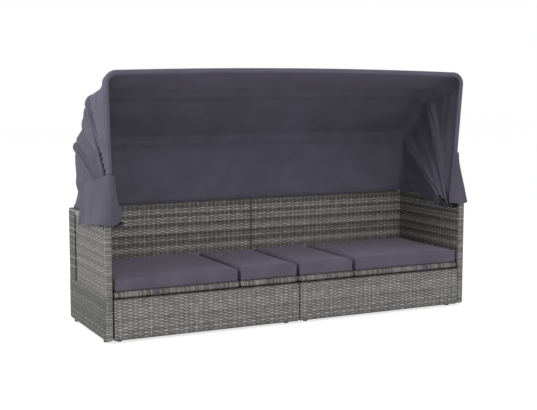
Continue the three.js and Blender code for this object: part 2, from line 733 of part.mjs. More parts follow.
// Pivot bolt: hexagon head outside the arm, shank through the hoops, collars and a nut
function pivotBolt() {
  const headX = halfWidth + FIT + PLATE_THICK + FIT;
  const centre = [pivotY, pivotZ];
  const innerFace = legFootX('rear') - HOOP_TUBE_RADIUS - FIT;
  const collars = hoopOrder.slice(1).map((hoop) => {
    const low = legFootX(hoop) + HOOP_TUBE_RADIUS + FIT;
    return bar('x', low, low + HOOP_PITCH - 2 * HOOP_TUBE_RADIUS - 2 * FIT, centre, COLLAR_RADIUS);
  });
  return joined([
    bar('x', headX, headX + BOLT_HEAD_HEIGHT, centre, BOLT_HEAD_RADIUS, 6),
    bar('x', innerFace - BOLT_HEAD_HEIGHT, headX + BOLT_HEAD_HEIGHT / 2, centre, BOLT_RADIUS),
    bar('x', innerFace - BOLT_HEAD_HEIGHT, innerFace, centre, BOLT_HEAD_RADIUS, 6),
    ...collars,
  ]);
}

// Thin closed sheet: a grid of points, thickened inwards along its own normals
function sheet(grid, thickness) {
  const [rows, columns] = [grid.length, grid[0].length];
  const at = (r, c) => grid[THREE.MathUtils.clamp(r, 0, rows - 1)][
    THREE.MathUtils.clamp(c, 0, columns - 1)];
  const inner = grid.map((row, r) => row.map((point, c) => {
    const alongRow = new THREE.Vector3().subVectors(at(r, c + 1), at(r, c - 1));
    const acrossRows = new THREE.Vector3().subVectors(at(r + 1, c), at(r - 1, c));
    const normal = new THREE.Vector3().crossVectors(alongRow, acrossRows).normalize();
    return point.clone().addScaledVector(normal, thickness);
  }));
  const points = [...grid.flat(), ...inner.flat()];
  const below = rows * columns;
  const faces = [];
  const quad = (a, b, c, d) => faces.push(a, b, c, a, c, d);
  for (let r = 0; r < rows - 1; r += 1) {
    for (let c = 0; c < columns - 1; c += 1) {
      const [a, b, d, e] = [r * columns + c, r * columns + c + 1,
        (r + 1) * columns + c + 1, (r + 1) * columns + c];
      quad(a, b, d, e);
      quad(below + a, below + e, below + d, below + b);
    }
  }
  const rim = [];
  for (let c = 0; c < columns - 1; c += 1) rim.push(c);
  for (let r = 0; r < rows - 1; r += 1) rim.push(r * columns + columns - 1);
  for (let c = columns - 1; c > 0; c -= 1) rim.push((rows - 1) * columns + c);
  for (let r = rows - 1; r > 0; r -= 1) rim.push(r * columns);
  rim.forEach((a, i) => {
    const b = rim[(i + 1) % rim.length];
    quad(b, a, below + a, below + b);
  });
  const geometry = new THREE.BufferGeometry().setFromPoints(points);
  geometry.setIndex(faces);
  return geometry;
}

// Lines that the canopy's panels hang between, from the right hem over the top to the middle
function hoopLine(hoop) {
  const turn = THREE.MathUtils.degToRad(HOOP_DEG[hoop]);
  const [reach, corner] = [hoopReach[hoop] + clothOffset, HOOP_CORNER + clothOffset];
  const hem = (PIVOT_DROP + HEM_RISE) / Math.cos(turn);
  const line = [];
  for (let i = 0; i < SIDE_STEPS; i += 1) {
    const share = i / SIDE_STEPS;
    line.push(hoopPoint(hoop, sideX, hem + (reach - corner - hem) * share));
  }
  for (let i = 0; i <= HOOP_CORNER_STEPS; i += 1) {
    const bend = Math.PI / 2 * i / HOOP_CORNER_STEPS;
    line.push(hoopPoint(hoop, sideX - corner + corner * Math.cos(bend),
      reach - corner + corner * Math.sin(bend)));
  }
  for (let i = 1; i <= TOP_STEPS; i += 1) {
    line.push(topPoint(hoop, (sideX - corner) * (1 - i / TOP_STEPS), clothOffset));
  }
  return line;
}

// The fixed hem: along the top of the arm, round its rear corner and behind the back panel
function hemLine() {
  const turn = THREE.MathUtils.degToRad(HOOP_DEG.rear);
  const startY = pivotY + (PIVOT_DROP + HEM_RISE) * Math.tan(turn) + HEM_INSET;
  const corner = HOOP_CORNER + clothOffset;
  const hemZ = ARM_HEIGHT + HEM_RISE;
  const backZ = ARM_HEIGHT - HEM_DROP;
  const rearY = halfDepth + CLOTH_REACH;
  const line = [];
  for (let i = 0; i < SIDE_STEPS; i += 1) {
    const share = i / SIDE_STEPS;
    line.push(new THREE.Vector3(sideX, startY + (halfDepth - startY) * share, hemZ - CLOTH));
  }
  for (let i = 0; i <= HOOP_CORNER_STEPS; i += 1) {
    const bend = Math.PI / 2 * i / HOOP_CORNER_STEPS;
    const fall = Math.sin(bend) ** 2;
    line.push(new THREE.Vector3(sideX - corner + corner * Math.cos(bend) ** 0.6,
      halfDepth + CLOTH_REACH * Math.sin(bend) ** 0.6, hemZ - CLOTH + (backZ - hemZ) * fall));
  }
  for (let i = 1; i <= TOP_STEPS; i += 1) {
    line.push(new THREE.Vector3((sideX - corner) * (1 - i / TOP_STEPS), rearY, backZ - CLOTH));
  }
  return line;
}

// Panel of cloth stretched between two lines, sagging a little on top and folded at the sides
function canopyPanel(name, from, to) {
  const rows = [];
  const half = from.length - 1;
  const width = from[half].distanceTo(to[half]);
  const trim = CLOTH_EDGE_GAP / width;
  for (let k = 0; k <= ACROSS_STEPS; k += 1) {
    const across = trim + (1 - 2 * trim) * k / ACROSS_STEPS;
    const dip = Math.sin(Math.PI * across);
    const wave = Math.abs(Math.sin(Math.PI * FOLD_COUNT[name] * across));
    const row = from.map((start, i) => {
      const point = start.clone().lerp(to[i], across);
      const side = Math.max(0, 1 - i / SIDE_STEPS);
      const over = Math.min(1, i / (SIDE_STEPS + HOOP_CORNER_STEPS));
      const spread = Math.min(1, start.distanceTo(to[i]) / width);
      point.x -= FOLD_DEPTH * wave * dip * (1 - over) * spread * (1 - side / 2);
      const inwards = new THREE.Vector3(0, pivotY - point.y, pivotZ - point.z).normalize();
      return point.addScaledVector(inwards, TOP_SAG * dip * over);
    });
    const mirror = row.slice(0, -1).map((point) => new THREE.Vector3(-point.x, point.y, point.z));
    rows.push([...mirror, ...row.reverse()]);
  }
  return sheet(rows, CLOTH);
}

// Tube of cloth sewn round a hoop, from a place on one leg to the same place on the other
function sleeve(hoop, start) {
  const right = hoopStations(hoop, start, 0);
  const left = right.slice(0, -1).reverse()
    .map((point) => new THREE.Vector3(-point.x, point.y, point.z));
  const stations = [...right, ...left];
  const outer = sweep(stations, HOOP_TUBE_RADIUS + FIT + CLOTH, TUBE_SIDES);
  const ends = [stations[0], stations[stations.length - 1]];
  const past = ends.map((end, i) => {
    const next = stations[i === 0 ? 1 : stations.length - 2];
    return end.clone().addScaledVector(new THREE.Vector3().subVectors(end, next).normalize(),
      OVERRUN);
  });
  const inner = sweep([past[0], ...stations.slice(1, -1), past[1]], HOOP_TUBE_RADIUS + FIT,
    TUBE_SIDES);
  return cut(outer, [inner]);
}

// Skirt: cloth that widens below the sleeve, outside the arm, round its front and inside it
function skirt() {
  const vector = (x, y, z) => new THREE.Vector3(x, y, z);
  const legFront = hoopPoint('front', 0, SKIRT_TOP_RISE).y - HOOP_TUBE_RADIUS - 2 * CLOTH;
  const seamTop = pivotZ + SKIRT_TOP_RISE;
  const legX = legFootX('front') + HOOP_TUBE_RADIUS;
  const outX = sideX + CLOTH;
  const frontY = -halfDepth - SKIRT_FRONT_OUT;
  const hemFront = ARM_HEIGHT - SKIRT_FRONT_DROP;
  const hemRear = ARM_HEIGHT - SKIRT_REAR_DROP;
  const top = new THREE.CatmullRomCurve3([
    vector(outX, pivotY + SKIRT_TOP_REACH, seamTop - SKIRT_TOP_FALL),
    vector(outX, pivotY + SKIRT_TOP_REACH / 3, seamTop - SKIRT_TOP_FALL / 2),
    vector(outX - CLOTH, legFront, seamTop),
    vector(legX, legFront - HOOP_TUBE_RADIUS, seamTop),
    vector(legX - 2 * HOOP_TUBE_RADIUS, legFront - CLOTH, seamTop),
  ]);
  const hem = new THREE.CatmullRomCurve3([
    vector(halfWidth + SKIRT_OUT, pivotY + SKIRT_HEM_REACH, hemRear),
    vector(halfWidth + SKIRT_OUT, pivotY + SKIRT_HEM_REACH / 3, (hemRear + hemFront) / 2),
    vector(halfWidth + SKIRT_OUT, -halfDepth + SKIRT_OUT, hemFront),
    vector(halfWidth, frontY, hemFront),
    vector(armInner - SKIRT_OUT, frontY, hemFront + SKIRT_INNER_RISE),
    vector(halfWidth - SKIRT_INNER_INSET, -halfDepth + CLOTH_REACH * 2, ARM_HEIGHT + SKIRT_INNER_RISE),
  ]);
  const columns = SIDE_STEPS * 2;
  const rows = [];
  for (let r = 0; r <= ACROSS_STEPS; r += 1) {
    const down = r / ACROSS_STEPS;
    const row = [];
    for (let c = 0; c <= columns; c += 1) {
      const along = c / columns;
      const point = top.getPointAt(along).lerp(hem.getPointAt(along), down);
      const ripple = SKIRT_RIPPLE * down * Math.sin(SKIRT_RIPPLES * 2 * Math.PI * along);
      row.push(point.add(vector(ripple * (1 - along), 0, 0)));
    }
    rows.push(row);
  }
  return sheet(rows, CLOTH);
}

// Woven panels and boards
addPair('arm_panel', armPanel(), wicker);
addPair('front_apron', longPanel(-halfDepth, PANEL_LIFT, APRON_HEIGHT), wicker);
addPair('rear_apron', longPanel(backInner, PANEL_LIFT, APRON_HEIGHT), wicker);
addPair('back_panel', longPanel(backInner, APRON_HEIGHT + FIT, ARM_HEIGHT), wicker);
addPair('seat_board', fixedBoard(), wicker);
addPair('backrest_board', backrestBoard(), wicker);

// Frames, hinges, stays and feet
addPair('seat_frame', seatFrame(), blackSteel);
addPair('hinge_rod', hingeRod(), zincSteel);
addPair('stay', stay(), blackSteel);
addPair('notched_rail_front', notchedRail(-1), zincSteel);
addPair('notched_rail_rear', notchedRail(1), zincSteel);
addPair('foot_inner_front', foot(LEG_INSET_INNER, -railCentre), blackPlastic);
addPair('foot_inner_rear', foot(LEG_INSET_INNER, railCentre), blackPlastic);
addPair('foot_outer_front', foot(halfWidth - LEG_INSET_OUTER, -railCentre), blackPlastic);
addPair('foot_outer_rear', foot(halfWidth - LEG_INSET_OUTER, railCentre), blackPlastic);
const armFootY = halfDepth - ARM_FOOT_INSET;
addPair('foot_arm_front', foot(halfWidth - ARM_THICK / 2, -armFootY), blackPlastic);
addPair('foot_arm_rear', foot(halfWidth - ARM_THICK / 2, armFootY), blackPlastic);

// Cushions and straps
const splitGap = CUSHION_GAP / 2;
addPair('cushion_middle', cushion(splitGap, SEAT_SPLIT - splitGap), cushionCloth);
addPair('cushion_backrest', cushion(SEAT_SPLIT + splitGap, armInner - CUSHION_END_GAP),
  cushionCloth);
addPair('strap', strap(), cushionCloth);

// Canopy
hoopOrder.forEach((hoop) => {
  addPart(`hoop_${hoop}_right`, halfHoop(hoop, true), blackSteel());
  addPart(`hoop_${hoop}_left`, mirrored(halfHoop(hoop, false)), blackSteel());
});
addPair('pivot_plate_outer', pivotPlate(true), blackSteel);
addPair('pivot_plate_inner', pivotPlate(false), blackSteel);
addPair('pivot_bolt', pivotBolt(), blackSteel);
const [frontLine, middleLine, rearLine] = hoopOrder.map(hoopLine);
addPart('canopy_front', canopyPanel('canopy_front', frontLine, middleLine), canopyCloth());
addPart('canopy_middle', canopyPanel('canopy_middle', middleLine, rearLine), canopyCloth());
addPart('canopy_rear', canopyPanel('canopy_rear', rearLine, hemLine()), canopyCloth());
addPart('canopy_sleeve', sleeve('front', SKIRT_TOP_RISE - SKIRT_TOP_FALL), canopyCloth());
addPart('canopy_pocket_middle', sleeve('middle', POCKET_START), canopyCloth());
addPart('canopy_pocket_rear', sleeve('rear', POCKET_START), canopyCloth());
addPair('skirt', skirt(), canopyCloth);

export default daybed;
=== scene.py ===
# %% [markdown]
# # An outdoor daybed with a folding canopy
# The imported model comes first. It holds every rigid part at its true place, so the rest of this
# lesson only dresses it: woven skins over the panels, stuffed cushions on the boards, and cloth over
# the hoops. Its box is kept. Nothing that is added may make the daybed bigger.

# %% Load the imported model
import math

import bpy
import numpy as np
from mathutils import Matrix, Vector


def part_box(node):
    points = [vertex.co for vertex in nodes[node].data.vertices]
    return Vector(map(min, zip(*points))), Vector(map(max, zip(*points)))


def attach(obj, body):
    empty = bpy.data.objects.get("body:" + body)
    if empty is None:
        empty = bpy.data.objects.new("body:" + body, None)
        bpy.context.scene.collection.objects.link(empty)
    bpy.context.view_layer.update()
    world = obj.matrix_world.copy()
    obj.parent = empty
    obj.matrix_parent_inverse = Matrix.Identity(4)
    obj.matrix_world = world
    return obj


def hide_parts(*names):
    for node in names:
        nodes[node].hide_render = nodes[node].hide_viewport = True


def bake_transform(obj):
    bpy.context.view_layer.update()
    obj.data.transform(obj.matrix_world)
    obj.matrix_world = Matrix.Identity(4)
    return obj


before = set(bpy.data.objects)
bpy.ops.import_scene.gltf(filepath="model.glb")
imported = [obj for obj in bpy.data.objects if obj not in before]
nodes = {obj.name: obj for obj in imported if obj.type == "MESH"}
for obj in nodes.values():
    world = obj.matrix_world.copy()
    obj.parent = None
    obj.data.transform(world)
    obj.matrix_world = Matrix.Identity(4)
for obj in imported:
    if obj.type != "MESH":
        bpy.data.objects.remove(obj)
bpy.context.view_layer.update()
SIDES = (("right", 1), ("left", -1))

# %% [markdown]
# ## Camera
# The photograph is taken from the left of the open front, a little above the seat. The camera's place
# was solved from the corners of the end panels and aprons, so it is written as an angle, a height and
# a distance from a point in the middle of the daybed.

# %% Camera
AIM = Vector((-0.025, 0.0, 0.567))
AZIMUTH = math.radians(-26.305)
ELEVATION = math.radians(6.418)
DISTANCE = 5.421
LENS, SENSOR = 70.07, 36

camera = bpy.data.objects.new("camera", bpy.data.cameras.new("camera"))
bpy.context.scene.collection.objects.link(camera)
camera.location = AIM + DISTANCE * Vector((
    math.sin(AZIMUTH) * math.cos(ELEVATION),
    -math.cos(AZIMUTH) * math.cos(ELEVATION),
    math.sin(ELEVATION)))
camera.rotation_euler = (math.pi / 2 - ELEVATION, 0, AZIMUTH)
camera.data.lens = LENS
camera.data.sensor_width = SENSOR
bpy.context.scene.camera = camera
bpy.context.scene.view_settings.view_transform = "Standard"
print("camera at", tuple(round(v, 3) for v in camera.location))

# %% [markdown]
# ## Writing materials in code
# Every finish below is a node tree. Small helpers keep the trees short: they start a material, add a
# node with its settings and links, do arithmetic, and add a colour ramp, a mix, a noise or a bump.

# %% Helpers for materials
def new_finish(name, colour, roughness, metallic=0.0):
    """A material with one Principled shader, as (material, tree, shader)."""
    material = bpy.data.materials.new(name)
    material.use_nodes = True
    tree = material.node_tree
    shader = tree.nodes["Principled BSDF"]
    shader.inputs["Base Color"].default_value = (*colour, 1)
    shader.inputs["Roughness"].default_value = roughness
    shader.inputs["Metallic"].default_value = metallic
    return material, tree, shader


def add(tree, kind, inputs=None, **settings):
    """A node with its settings; inputs are values, or sockets to link from."""
    node = tree.nodes.new("ShaderNode" + kind)
    for key, value in settings.items():
        setattr(node, key, value)
    for key, value in (inputs or {}).items():
        if isinstance(value, bpy.types.NodeSocket):
            tree.links.new(value, node.inputs[key])
        else:
            node.inputs[key].default_value = value
    return node


def maths(tree, operation, *values):
    return add(tree, "Math", dict(enumerate(values)), operation=operation).outputs[0]


def ramp(tree, factor, stops):
    """Colour ramp through (place, colour) stops."""
    node = add(tree, "ValToRGB", {"Fac": factor})
    elements = node.color_ramp.elements
    while len(elements) < len(stops):
        elements.new(0.5)
    for element, (place, colour) in zip(elements, stops):
        element.position = place
        element.color = (*colour, 1)
    return node.outputs["Color"]


def mix_colours(tree, kind, factor, a, b):
    """Two colours mixed; the colour sockets of a Mix node are its seventh and eighth."""
    node = add(tree, "Mix", {0: factor, 6: a, 7: b}, data_type="RGBA", blend_type=kind)
    return node.outputs[2]


def noise(tree, place, scale, detail):
    """The value of a Noise texture at a place."""
    return add(tree, "TexNoise", {"Vector": place, "Scale": scale, "Detail": detail}).outputs["Fac"]


def bump(tree, shader, height, distance, strength=1.0):
    """The shader's surface looks raised where the height is large."""
    node = add(tree, "Bump", {"Height": height, "Distance": distance, "Strength": strength})
    tree.links.new(node.outputs["Normal"], shader.inputs["Normal"])


def give(piece, material):
    """The piece wears this one material all over."""
    piece.data.materials.clear()
    piece.data.materials.append(material)


print("helpers ready")

# %% [markdown]
# ## Studio
# The daybed stands on a plain white floor in soft light. A large lamp on the left brightens the outer
# face of the left end panel, and a weaker one in front fills the seat. The floor glows a little, but
# only for the camera and for reflections, so that it is white up to the horizon, keeps the daybed's
# shadow and adds no light to the daybed. The white of the background is made in the same way.

# %% Floor, background and lamps
FLOOR_SIZE = 60
FLOOR_WHITE, FLOOR_DIM, FLOOR_GLOW = 0.86, 0.42, 0.74
WORLD_LIGHT = 0.6
LAMP_AIM = Vector((0, 0, 0.5))
LAMPS = (("lamp_left", (-4.4, -0.32, 2.9), 1.8, 112),
         ("lamp_front", (-0.2, -5.2, 4.8), 2.6, 142),
         ("lamp_back", (1.5, 3.6, 3.4), 2.6, 35))


def seen_directly(tree):
    """1 for rays that the camera and reflections send out, 0 for rays that carry light."""
    rays = add(tree, "LightPath").outputs
    mirrored = maths(tree, "MAXIMUM", rays["Is Glossy Ray"], rays["Is Transmission Ray"])
    return maths(tree, "MAXIMUM", rays["Is Camera Ray"], mirrored)


def studio_floor():
    bpy.ops.object.select_all(action="DESELECT")
    bpy.ops.mesh.primitive_plane_add(size=FLOOR_SIZE, location=(0, 0, 0))
    floor = bpy.context.object
    floor.name = "floor"
    material, tree, shader = new_finish("floor_white", (FLOOR_WHITE,) * 3, 0.9)
    dim = add(tree, "BsdfDiffuse", {"Color": (FLOOR_DIM, FLOOR_DIM, FLOOR_DIM, 1)})
    glow = add(tree, "Emission", {"Color": (1, 1, 1, 1), "Strength": FLOOR_GLOW})
    both = add(tree, "AddShader", {0: dim.outputs[0], 1: glow.outputs[0]})
    mixed = add(tree, "MixShader", {0: seen_directly(tree), 1: shader.outputs[0], 2: both.outputs[0]})
    tree.links.new(mixed.outputs[0], tree.nodes["Material Output"].inputs["Surface"])
    give(floor, material)


def studio_light():
    world = bpy.data.worlds.new("studio")
    world.use_nodes = True
    bpy.context.scene.world = world
    tree = world.node_tree
    strength = maths(tree, "MULTIPLY_ADD", seen_directly(tree), 1.0 - WORLD_LIGHT, WORLD_LIGHT)
    tree.links.new(strength, tree.nodes["Background"].inputs["Strength"])
    tree.nodes["Background"].inputs["Color"].default_value = (1, 1, 1, 1)
    for name, place, size, power in LAMPS:
        lamp = bpy.data.objects.new(name, bpy.data.lights.new(name, "AREA"))
        bpy.context.scene.collection.objects.link(lamp)
        lamp.location = place
        lamp.rotation_euler = (LAMP_AIM - lamp.location).to_track_quat("-Z", "Y").to_euler()
        lamp.data.size = size
        lamp.data.energy = power


studio_floor()
studio_light()
print("studio with", len(LAMPS), "lamps")

# %% [markdown]
# ## Flat woven strips
# The panels are woven and wound from flat plastic strips about 7.6 mm wide, in mixed greys. Each strip
# keeps one tone over its length, with fine lines along it. On a woven skin the tone and the depth of
# each point are attributes of the mesh, so the finish follows the strip wherever it goes. The depth
# carries painted shade and highlight: where a strip dives behind a stake it is painted darker as shade,
# and crests are painted lighter as a highlight.

# %% Strip finish
STRIP = 0.0076
STAKE = 0.0252
STRIP_GREYS = ((0.0, (0.045, 0.044, 0.041)), (0.3, (0.12, 0.117, 0.109)),
               (0.6, (0.245, 0.242, 0.227)), (1.0, (0.46, 0.455, 0.43)))
# Painted shade and highlight by depth: dark in the deepest places, brighter than the strip's tone on
# crests.
DEPTH_PAINTED_SHADES = ((0.0, (0.01, 0.01, 0.01)), (0.45, (0.07, 0.07, 0.07)),
                (0.7, (0.65, 0.65, 0.65)), (1.0, (1.35, 1.35, 1.35)))


def strip_finish(tree, shader, tone, depth, stretch):
    """Colour and bump of strips: their tone, painted shade and highlight by how deep they dive, and
    lines along them.
    """
    place = add(tree, "TexCoord").outputs["Object"]
    drawn = add(tree, "Mapping", {"Vector": place, "Scale": stretch}).outputs["Vector"]
    lines = noise(tree, drawn, 1.0, 2.0)
    cloud = noise(tree, place, 31.0, 2.0)
    varied = maths(tree, "MULTIPLY_ADD", maths(tree, "SUBTRACT", lines, 0.5), 0.4, tone)
    varied = maths(tree, "MULTIPLY_ADD", maths(tree, "SUBTRACT", cloud, 0.5), 0.45, varied)
    colour = ramp(tree, varied, STRIP_GREYS)
    # Painted shade and highlight: the strip colour is multiplied by a ramp of the depth.
    colour = mix_colours(tree, "MULTIPLY", 1.0, colour, ramp(tree, depth, DEPTH_PAINTED_SHADES))
    tree.links.new(colour, shader.inputs["Base Color"])
    bump(tree, shader, lines, 0.0004)
    shader.inputs["Specular IOR Level"].default_value = 0.35


def woven_finish():
    material, tree, shader = new_finish("woven_strips", (0.3, 0.3, 0.28), 0.5)
    tone = add(tree, "Attribute", attribute_name="tone").outputs["Fac"]
    # The depth attribute carries painted shade and highlight.
    depth = add(tree, "Attribute", attribute_name="depth").outputs["Fac"]
    strip_finish(tree, shader, tone, depth, (40.0, 40.0, 1500.0))
    return material


woven = woven_finish()
print("woven finish:", woven.name)

# %% [markdown]
# ## Wound edges
# The edges of panels and boards are wound with the same strips, laid side by side across the edge. They
# are narrow, so the imported solids keep their shape and wear a finish that counts strips along the
# edge: up the posts, and along the rails on top. A board's edge is wound along its length only. Each
# wound strip is painted dark at its edges and light on its crown, as painted shade and highlight. An
# end panel is painted darker behind its woven field, as painted shade, and its strips there vary more
# in tone.

# %% Finish of wound edges
REAR_STRIP_Y = 0.17
TOP_FACING = 0.6


def wound_finish(name, side_axis, top_axis, spread, middle, painted_shade_and_spread_behind=0.0):
    """Strips wound round an edge, counted along one axis on the sides and another on the top."""
    material, tree, shader = new_finish(name, (0.3, 0.3, 0.28), 0.5)
    coordinate = add(tree, "TexCoord").outputs
    place = add(tree, "SeparateXYZ", {0: coordinate["Object"]}).outputs
    facing = add(tree, "SeparateXYZ", {0: coordinate["Normal"]}).outputs["Z"]
    on_top = maths(tree, "GREATER_THAN", maths(tree, "ABSOLUTE", facing), TOP_FACING)
    side_part = maths(tree, "MULTIPLY", place[side_axis], maths(tree, "SUBTRACT", 1.0, on_top))
    along = maths(tree, "MULTIPLY_ADD", place[top_axis], on_top, side_part)
    count = maths(tree, "DIVIDE", along, STRIP)
    share = maths(tree, "FRACT", count)
    round_back = maths(tree, "SINE", maths(tree, "MULTIPLY", share, math.pi))
    tone = add(tree, "TexWhiteNoise", {"W": maths(tree, "FLOOR", count)},
               noise_dimensions="1D").outputs["Value"]
    # Painted shade: behind REAR_STRIP_Y the strips are darkened for the shade beside the raised field;
    # their tones also spread wider.
    behind = maths(tree, "GREATER_THAN", place["Y"], REAR_STRIP_Y)
    wider = maths(tree, "MULTIPLY_ADD", behind, painted_shade_and_spread_behind * 2, spread)
    tone = maths(tree, "MULTIPLY_ADD", maths(tree, "SUBTRACT", tone, 0.5), wider, middle)
    tone = maths(tree, "MULTIPLY_ADD", behind, -painted_shade_and_spread_behind, tone)
    # Painted shade and highlight: each wound strip is dark at its edges and light on its crown.
    depth = maths(tree, "MULTIPLY_ADD", maths(tree, "POWER", round_back, 0.45), 0.75, 0.15)
    strip_finish(tree, shader, tone, depth, (260.0, 260.0, 260.0))
    raised = add(tree, "Bump", {"Height": round_back, "Distance": 0.0012, "Strength": 0.9})
    old = shader.inputs["Normal"].links[0].from_node
    tree.links.new(raised.outputs["Normal"], old.inputs["Normal"])
    return material


wound_arm = wound_finish("wound_end_panels", "Z", "Y", 0.35, 0.52, painted_shade_and_spread_behind=0.75)
# Painted shade: a dark middle tone on the long panels' wound edges, for the shade in the seams between
# panels.
wound_long = wound_finish("wound_long_panels", "Z", "X", 0.3, 0.25)
wound_board = wound_finish("wound_boards", "X", "X", 0.5, 0.45)
for name, node in nodes.items():
    if name.startswith("arm_panel"):
        give(node, wound_arm)
    elif name.startswith(("front_apron", "rear_apron", "back_panel")):
        give(node, wound_long)
    elif name.startswith(("seat_board", "backrest_board")):
        give(node, wound_board)
wound_nodes = [n for n in nodes.values() if n.data.materials[0].name.startswith("wound")]
print("wound edges on", len(wound_nodes), "nodes")

# %% [markdown]
# ## Woven skins
# Each flat face carries a real weave: strips that go in front of one upright stake and behind the
# next, row by row in turn. Painting it would look flat near the edges, and modelling every strip by
# hand would never end. So two rows of one wave are shaped once, repeated with Array modifiers, and
# trimmed to the panel with bisect. The stakes that show between the strips are repeated the same way.

# %% Shape one piece of weave and repeat it
WAVE = 2 * STAKE
WAVE_STEPS = 10
ROW_LINES = (0.0, 0.22, 0.78)
STAKE_WIDTH = 0.0052
WELD = 0.00005


def only(piece):
    """This piece alone is selected and active."""
    bpy.ops.object.select_all(action="DESELECT")
    piece.select_set(True)
    bpy.context.view_layer.objects.active = piece


def modify(piece, kind, **settings):
    """Adds a modifier with its settings and applies it."""
    only(piece)
    modifier = piece.modifiers.new(kind, kind)
    for key, value in settings.items():
        setattr(modifier, key, value)
    bpy.ops.object.modifier_apply(modifier=modifier.name)


def face_outwards(piece):
    """All faces of the piece point outwards."""
    only(piece)
    bpy.ops.object.mode_set(mode="EDIT")
    bpy.ops.mesh.select_all(action="SELECT")
    bpy.ops.mesh.normals_make_consistent(inside=False)
    bpy.ops.object.mode_set(mode="OBJECT")


def grid(name, columns, rows, width, height):
    """A flat grid from (0, 0) to (width, height)."""
    bpy.ops.object.select_all(action="DESELECT")
    bpy.ops.mesh.primitive_grid_add(x_subdivisions=columns, y_subdivisions=rows, size=1)
    piece = bpy.context.object
    piece.name = name
    bpy.ops.object.mode_set(mode="EDIT")
    bpy.ops.transform.resize(value=(width, height, 1))
    bpy.ops.transform.translate(value=(width / 2, height / 2, 0))
    bpy.ops.object.mode_set(mode="OBJECT")
    return piece


def repeat(piece, offset, count):
    """Copies in a row, welded where they meet."""
    modify(piece, "ARRAY", use_relative_offset=False, use_constant_offset=True,
           constant_offset_displace=offset, count=count,
           use_merge_vertices=True, merge_threshold=WELD)


def trim(piece, place, direction):
    """Cuts away all that lies past a plane."""
    only(piece)
    bpy.ops.object.mode_set(mode="EDIT")
    bpy.ops.mesh.select_all(action="SELECT")
    bpy.ops.mesh.bisect(plane_co=place, plane_no=direction, clear_outer=True)
    bpy.ops.object.mode_set(mode="OBJECT")


def write_painted_depth_shade(piece, values):
    """How far in front each point lies, written as the depth attribute that the finish turns into
    painted shade and highlight.
    """
    piece.data.attributes.new("depth", "FLOAT", "POINT").data.foreach_set("value", values)


def strip_rows(rise, shadow):
    """Two rows over one wave. Under each bulge the groove is painted dark, as painted shadow; a dive is
    painted a shade darker, as painted shade.
    """
    piece = grid("strips", WAVE_STEPS, 2 * len(ROW_LINES), WAVE, 2 * STRIP)
    painted_shades = []
    for vertex in piece.data.vertices:
        line = round(vertex.co.y / STRIP * len(ROW_LINES))
        row, step = divmod(line, len(ROW_LINES))
        vertex.co.y = (row + ROW_LINES[step]) * STRIP
        swing = math.cos(2 * math.pi * vertex.co.x / WAVE + math.pi * (row % 2))
        swing = math.tanh(1.6 * swing) / math.tanh(1.6)
        in_groove = step == 0
        vertex.co.z = rise * ((0.3 - 0.15 * swing) if in_groove else 0.58 + 0.42 * swing)
        # Painted shadow in the groove under each bulge, and painted shade where a row dives.
        painted_shades.append(0.38 - 0.36 * swing if in_groove else 1.0 - shadow * (0.5 - 0.5 * swing))
    write_painted_depth_shade(piece, painted_shades)
    return piece


def stake_run(rise, parity):
    """One upright stake over two rows: it shows where the strip goes behind it."""
    piece = grid("stake", 1, 4, STAKE_WIDTH, 2 * STRIP)
    painted_shades = []
    for vertex in piece.data.vertices:
        shown = math.cos(math.pi * (vertex.co.y / STRIP - 0.5)) * (1 if parity else -1)
        vertex.co.z = rise * (0.42 + 0.3 * shown)
        vertex.co.x += parity * STAKE - STAKE_WIDTH / 2
        # Painted shade: the stakes are a little darker than the crests.
        painted_shades.append(0.8)
    write_painted_depth_shade(piece, painted_shades)
    return piece


print("one wave is", round(WAVE * 1000, 1), "mm long")

# %% [markdown]
# A skin is laid on a face by its lower corner, its direction along the panel and its size. Rows are
# counted from the floor, so that a band of light or dark strips runs on from panel to panel, as it
# does when one maker weaves a set. The lower part of the end panels is painted a shade darker, as
# painted shade.

# %% Lay a woven skin on a face
chance = np.random.default_rng(11)
ROW_TONES = chance.uniform(-0.5, 0.5, 160)
STAKE_TONES = chance.uniform(0.35, 0.62, 80)
DARK_BANDS = ((0.352, 0.009), (0.395, 0.018), (0.457, 0.007), (0.512, 0.012), (0.55, 0.010))
LIGHT_BANDS = ((0.332, 0.009), (0.43, 0.014), (0.488, 0.005), (0.527, 0.005))


def row_tone(height, mixed, banded):
    """Tone of the strip at a height: bands of light and dark rows, and no two rows quite alike."""
    tone = 0.50 + mixed * ROW_TONES[int(height / STRIP) % len(ROW_TONES)]
    tone -= sum(banded * 0.22 * math.exp(-((height - z) / w) ** 2) for z, w in DARK_BANDS)
    tone += sum(banded * 0.18 * math.exp(-((height - z) / w) ** 2) for z, w in LIGHT_BANDS)
    return tone


def paint_skin(piece, low, is_strip, shade, mixed, banded):
    """Writes the tone of every face; heights are still local, strips run along x."""
    tones = piece.data.attributes.new("tone", "FLOAT", "FACE")
    values = []
    for face in piece.data.polygons:
        if is_strip:
            tone = row_tone(low + face.center.y, mixed, banded)
        else:
            tone = float(STAKE_TONES[round(face.center.x / STAKE) % len(STAKE_TONES)])
        values.append(min(1.0, max(0.02, tone + shade)))
    tones.data.foreach_set("value", values)


def lay(piece, start, direction):
    """Turns local x to a direction, y upwards and z outwards, and moves the corner to its place."""
    along, up = Vector(direction), Vector((0, 0, 1))
    turn = Matrix((along, up, along.cross(up))).transposed().to_4x4()
    piece.data.transform(Matrix.Translation(start) @ turn)


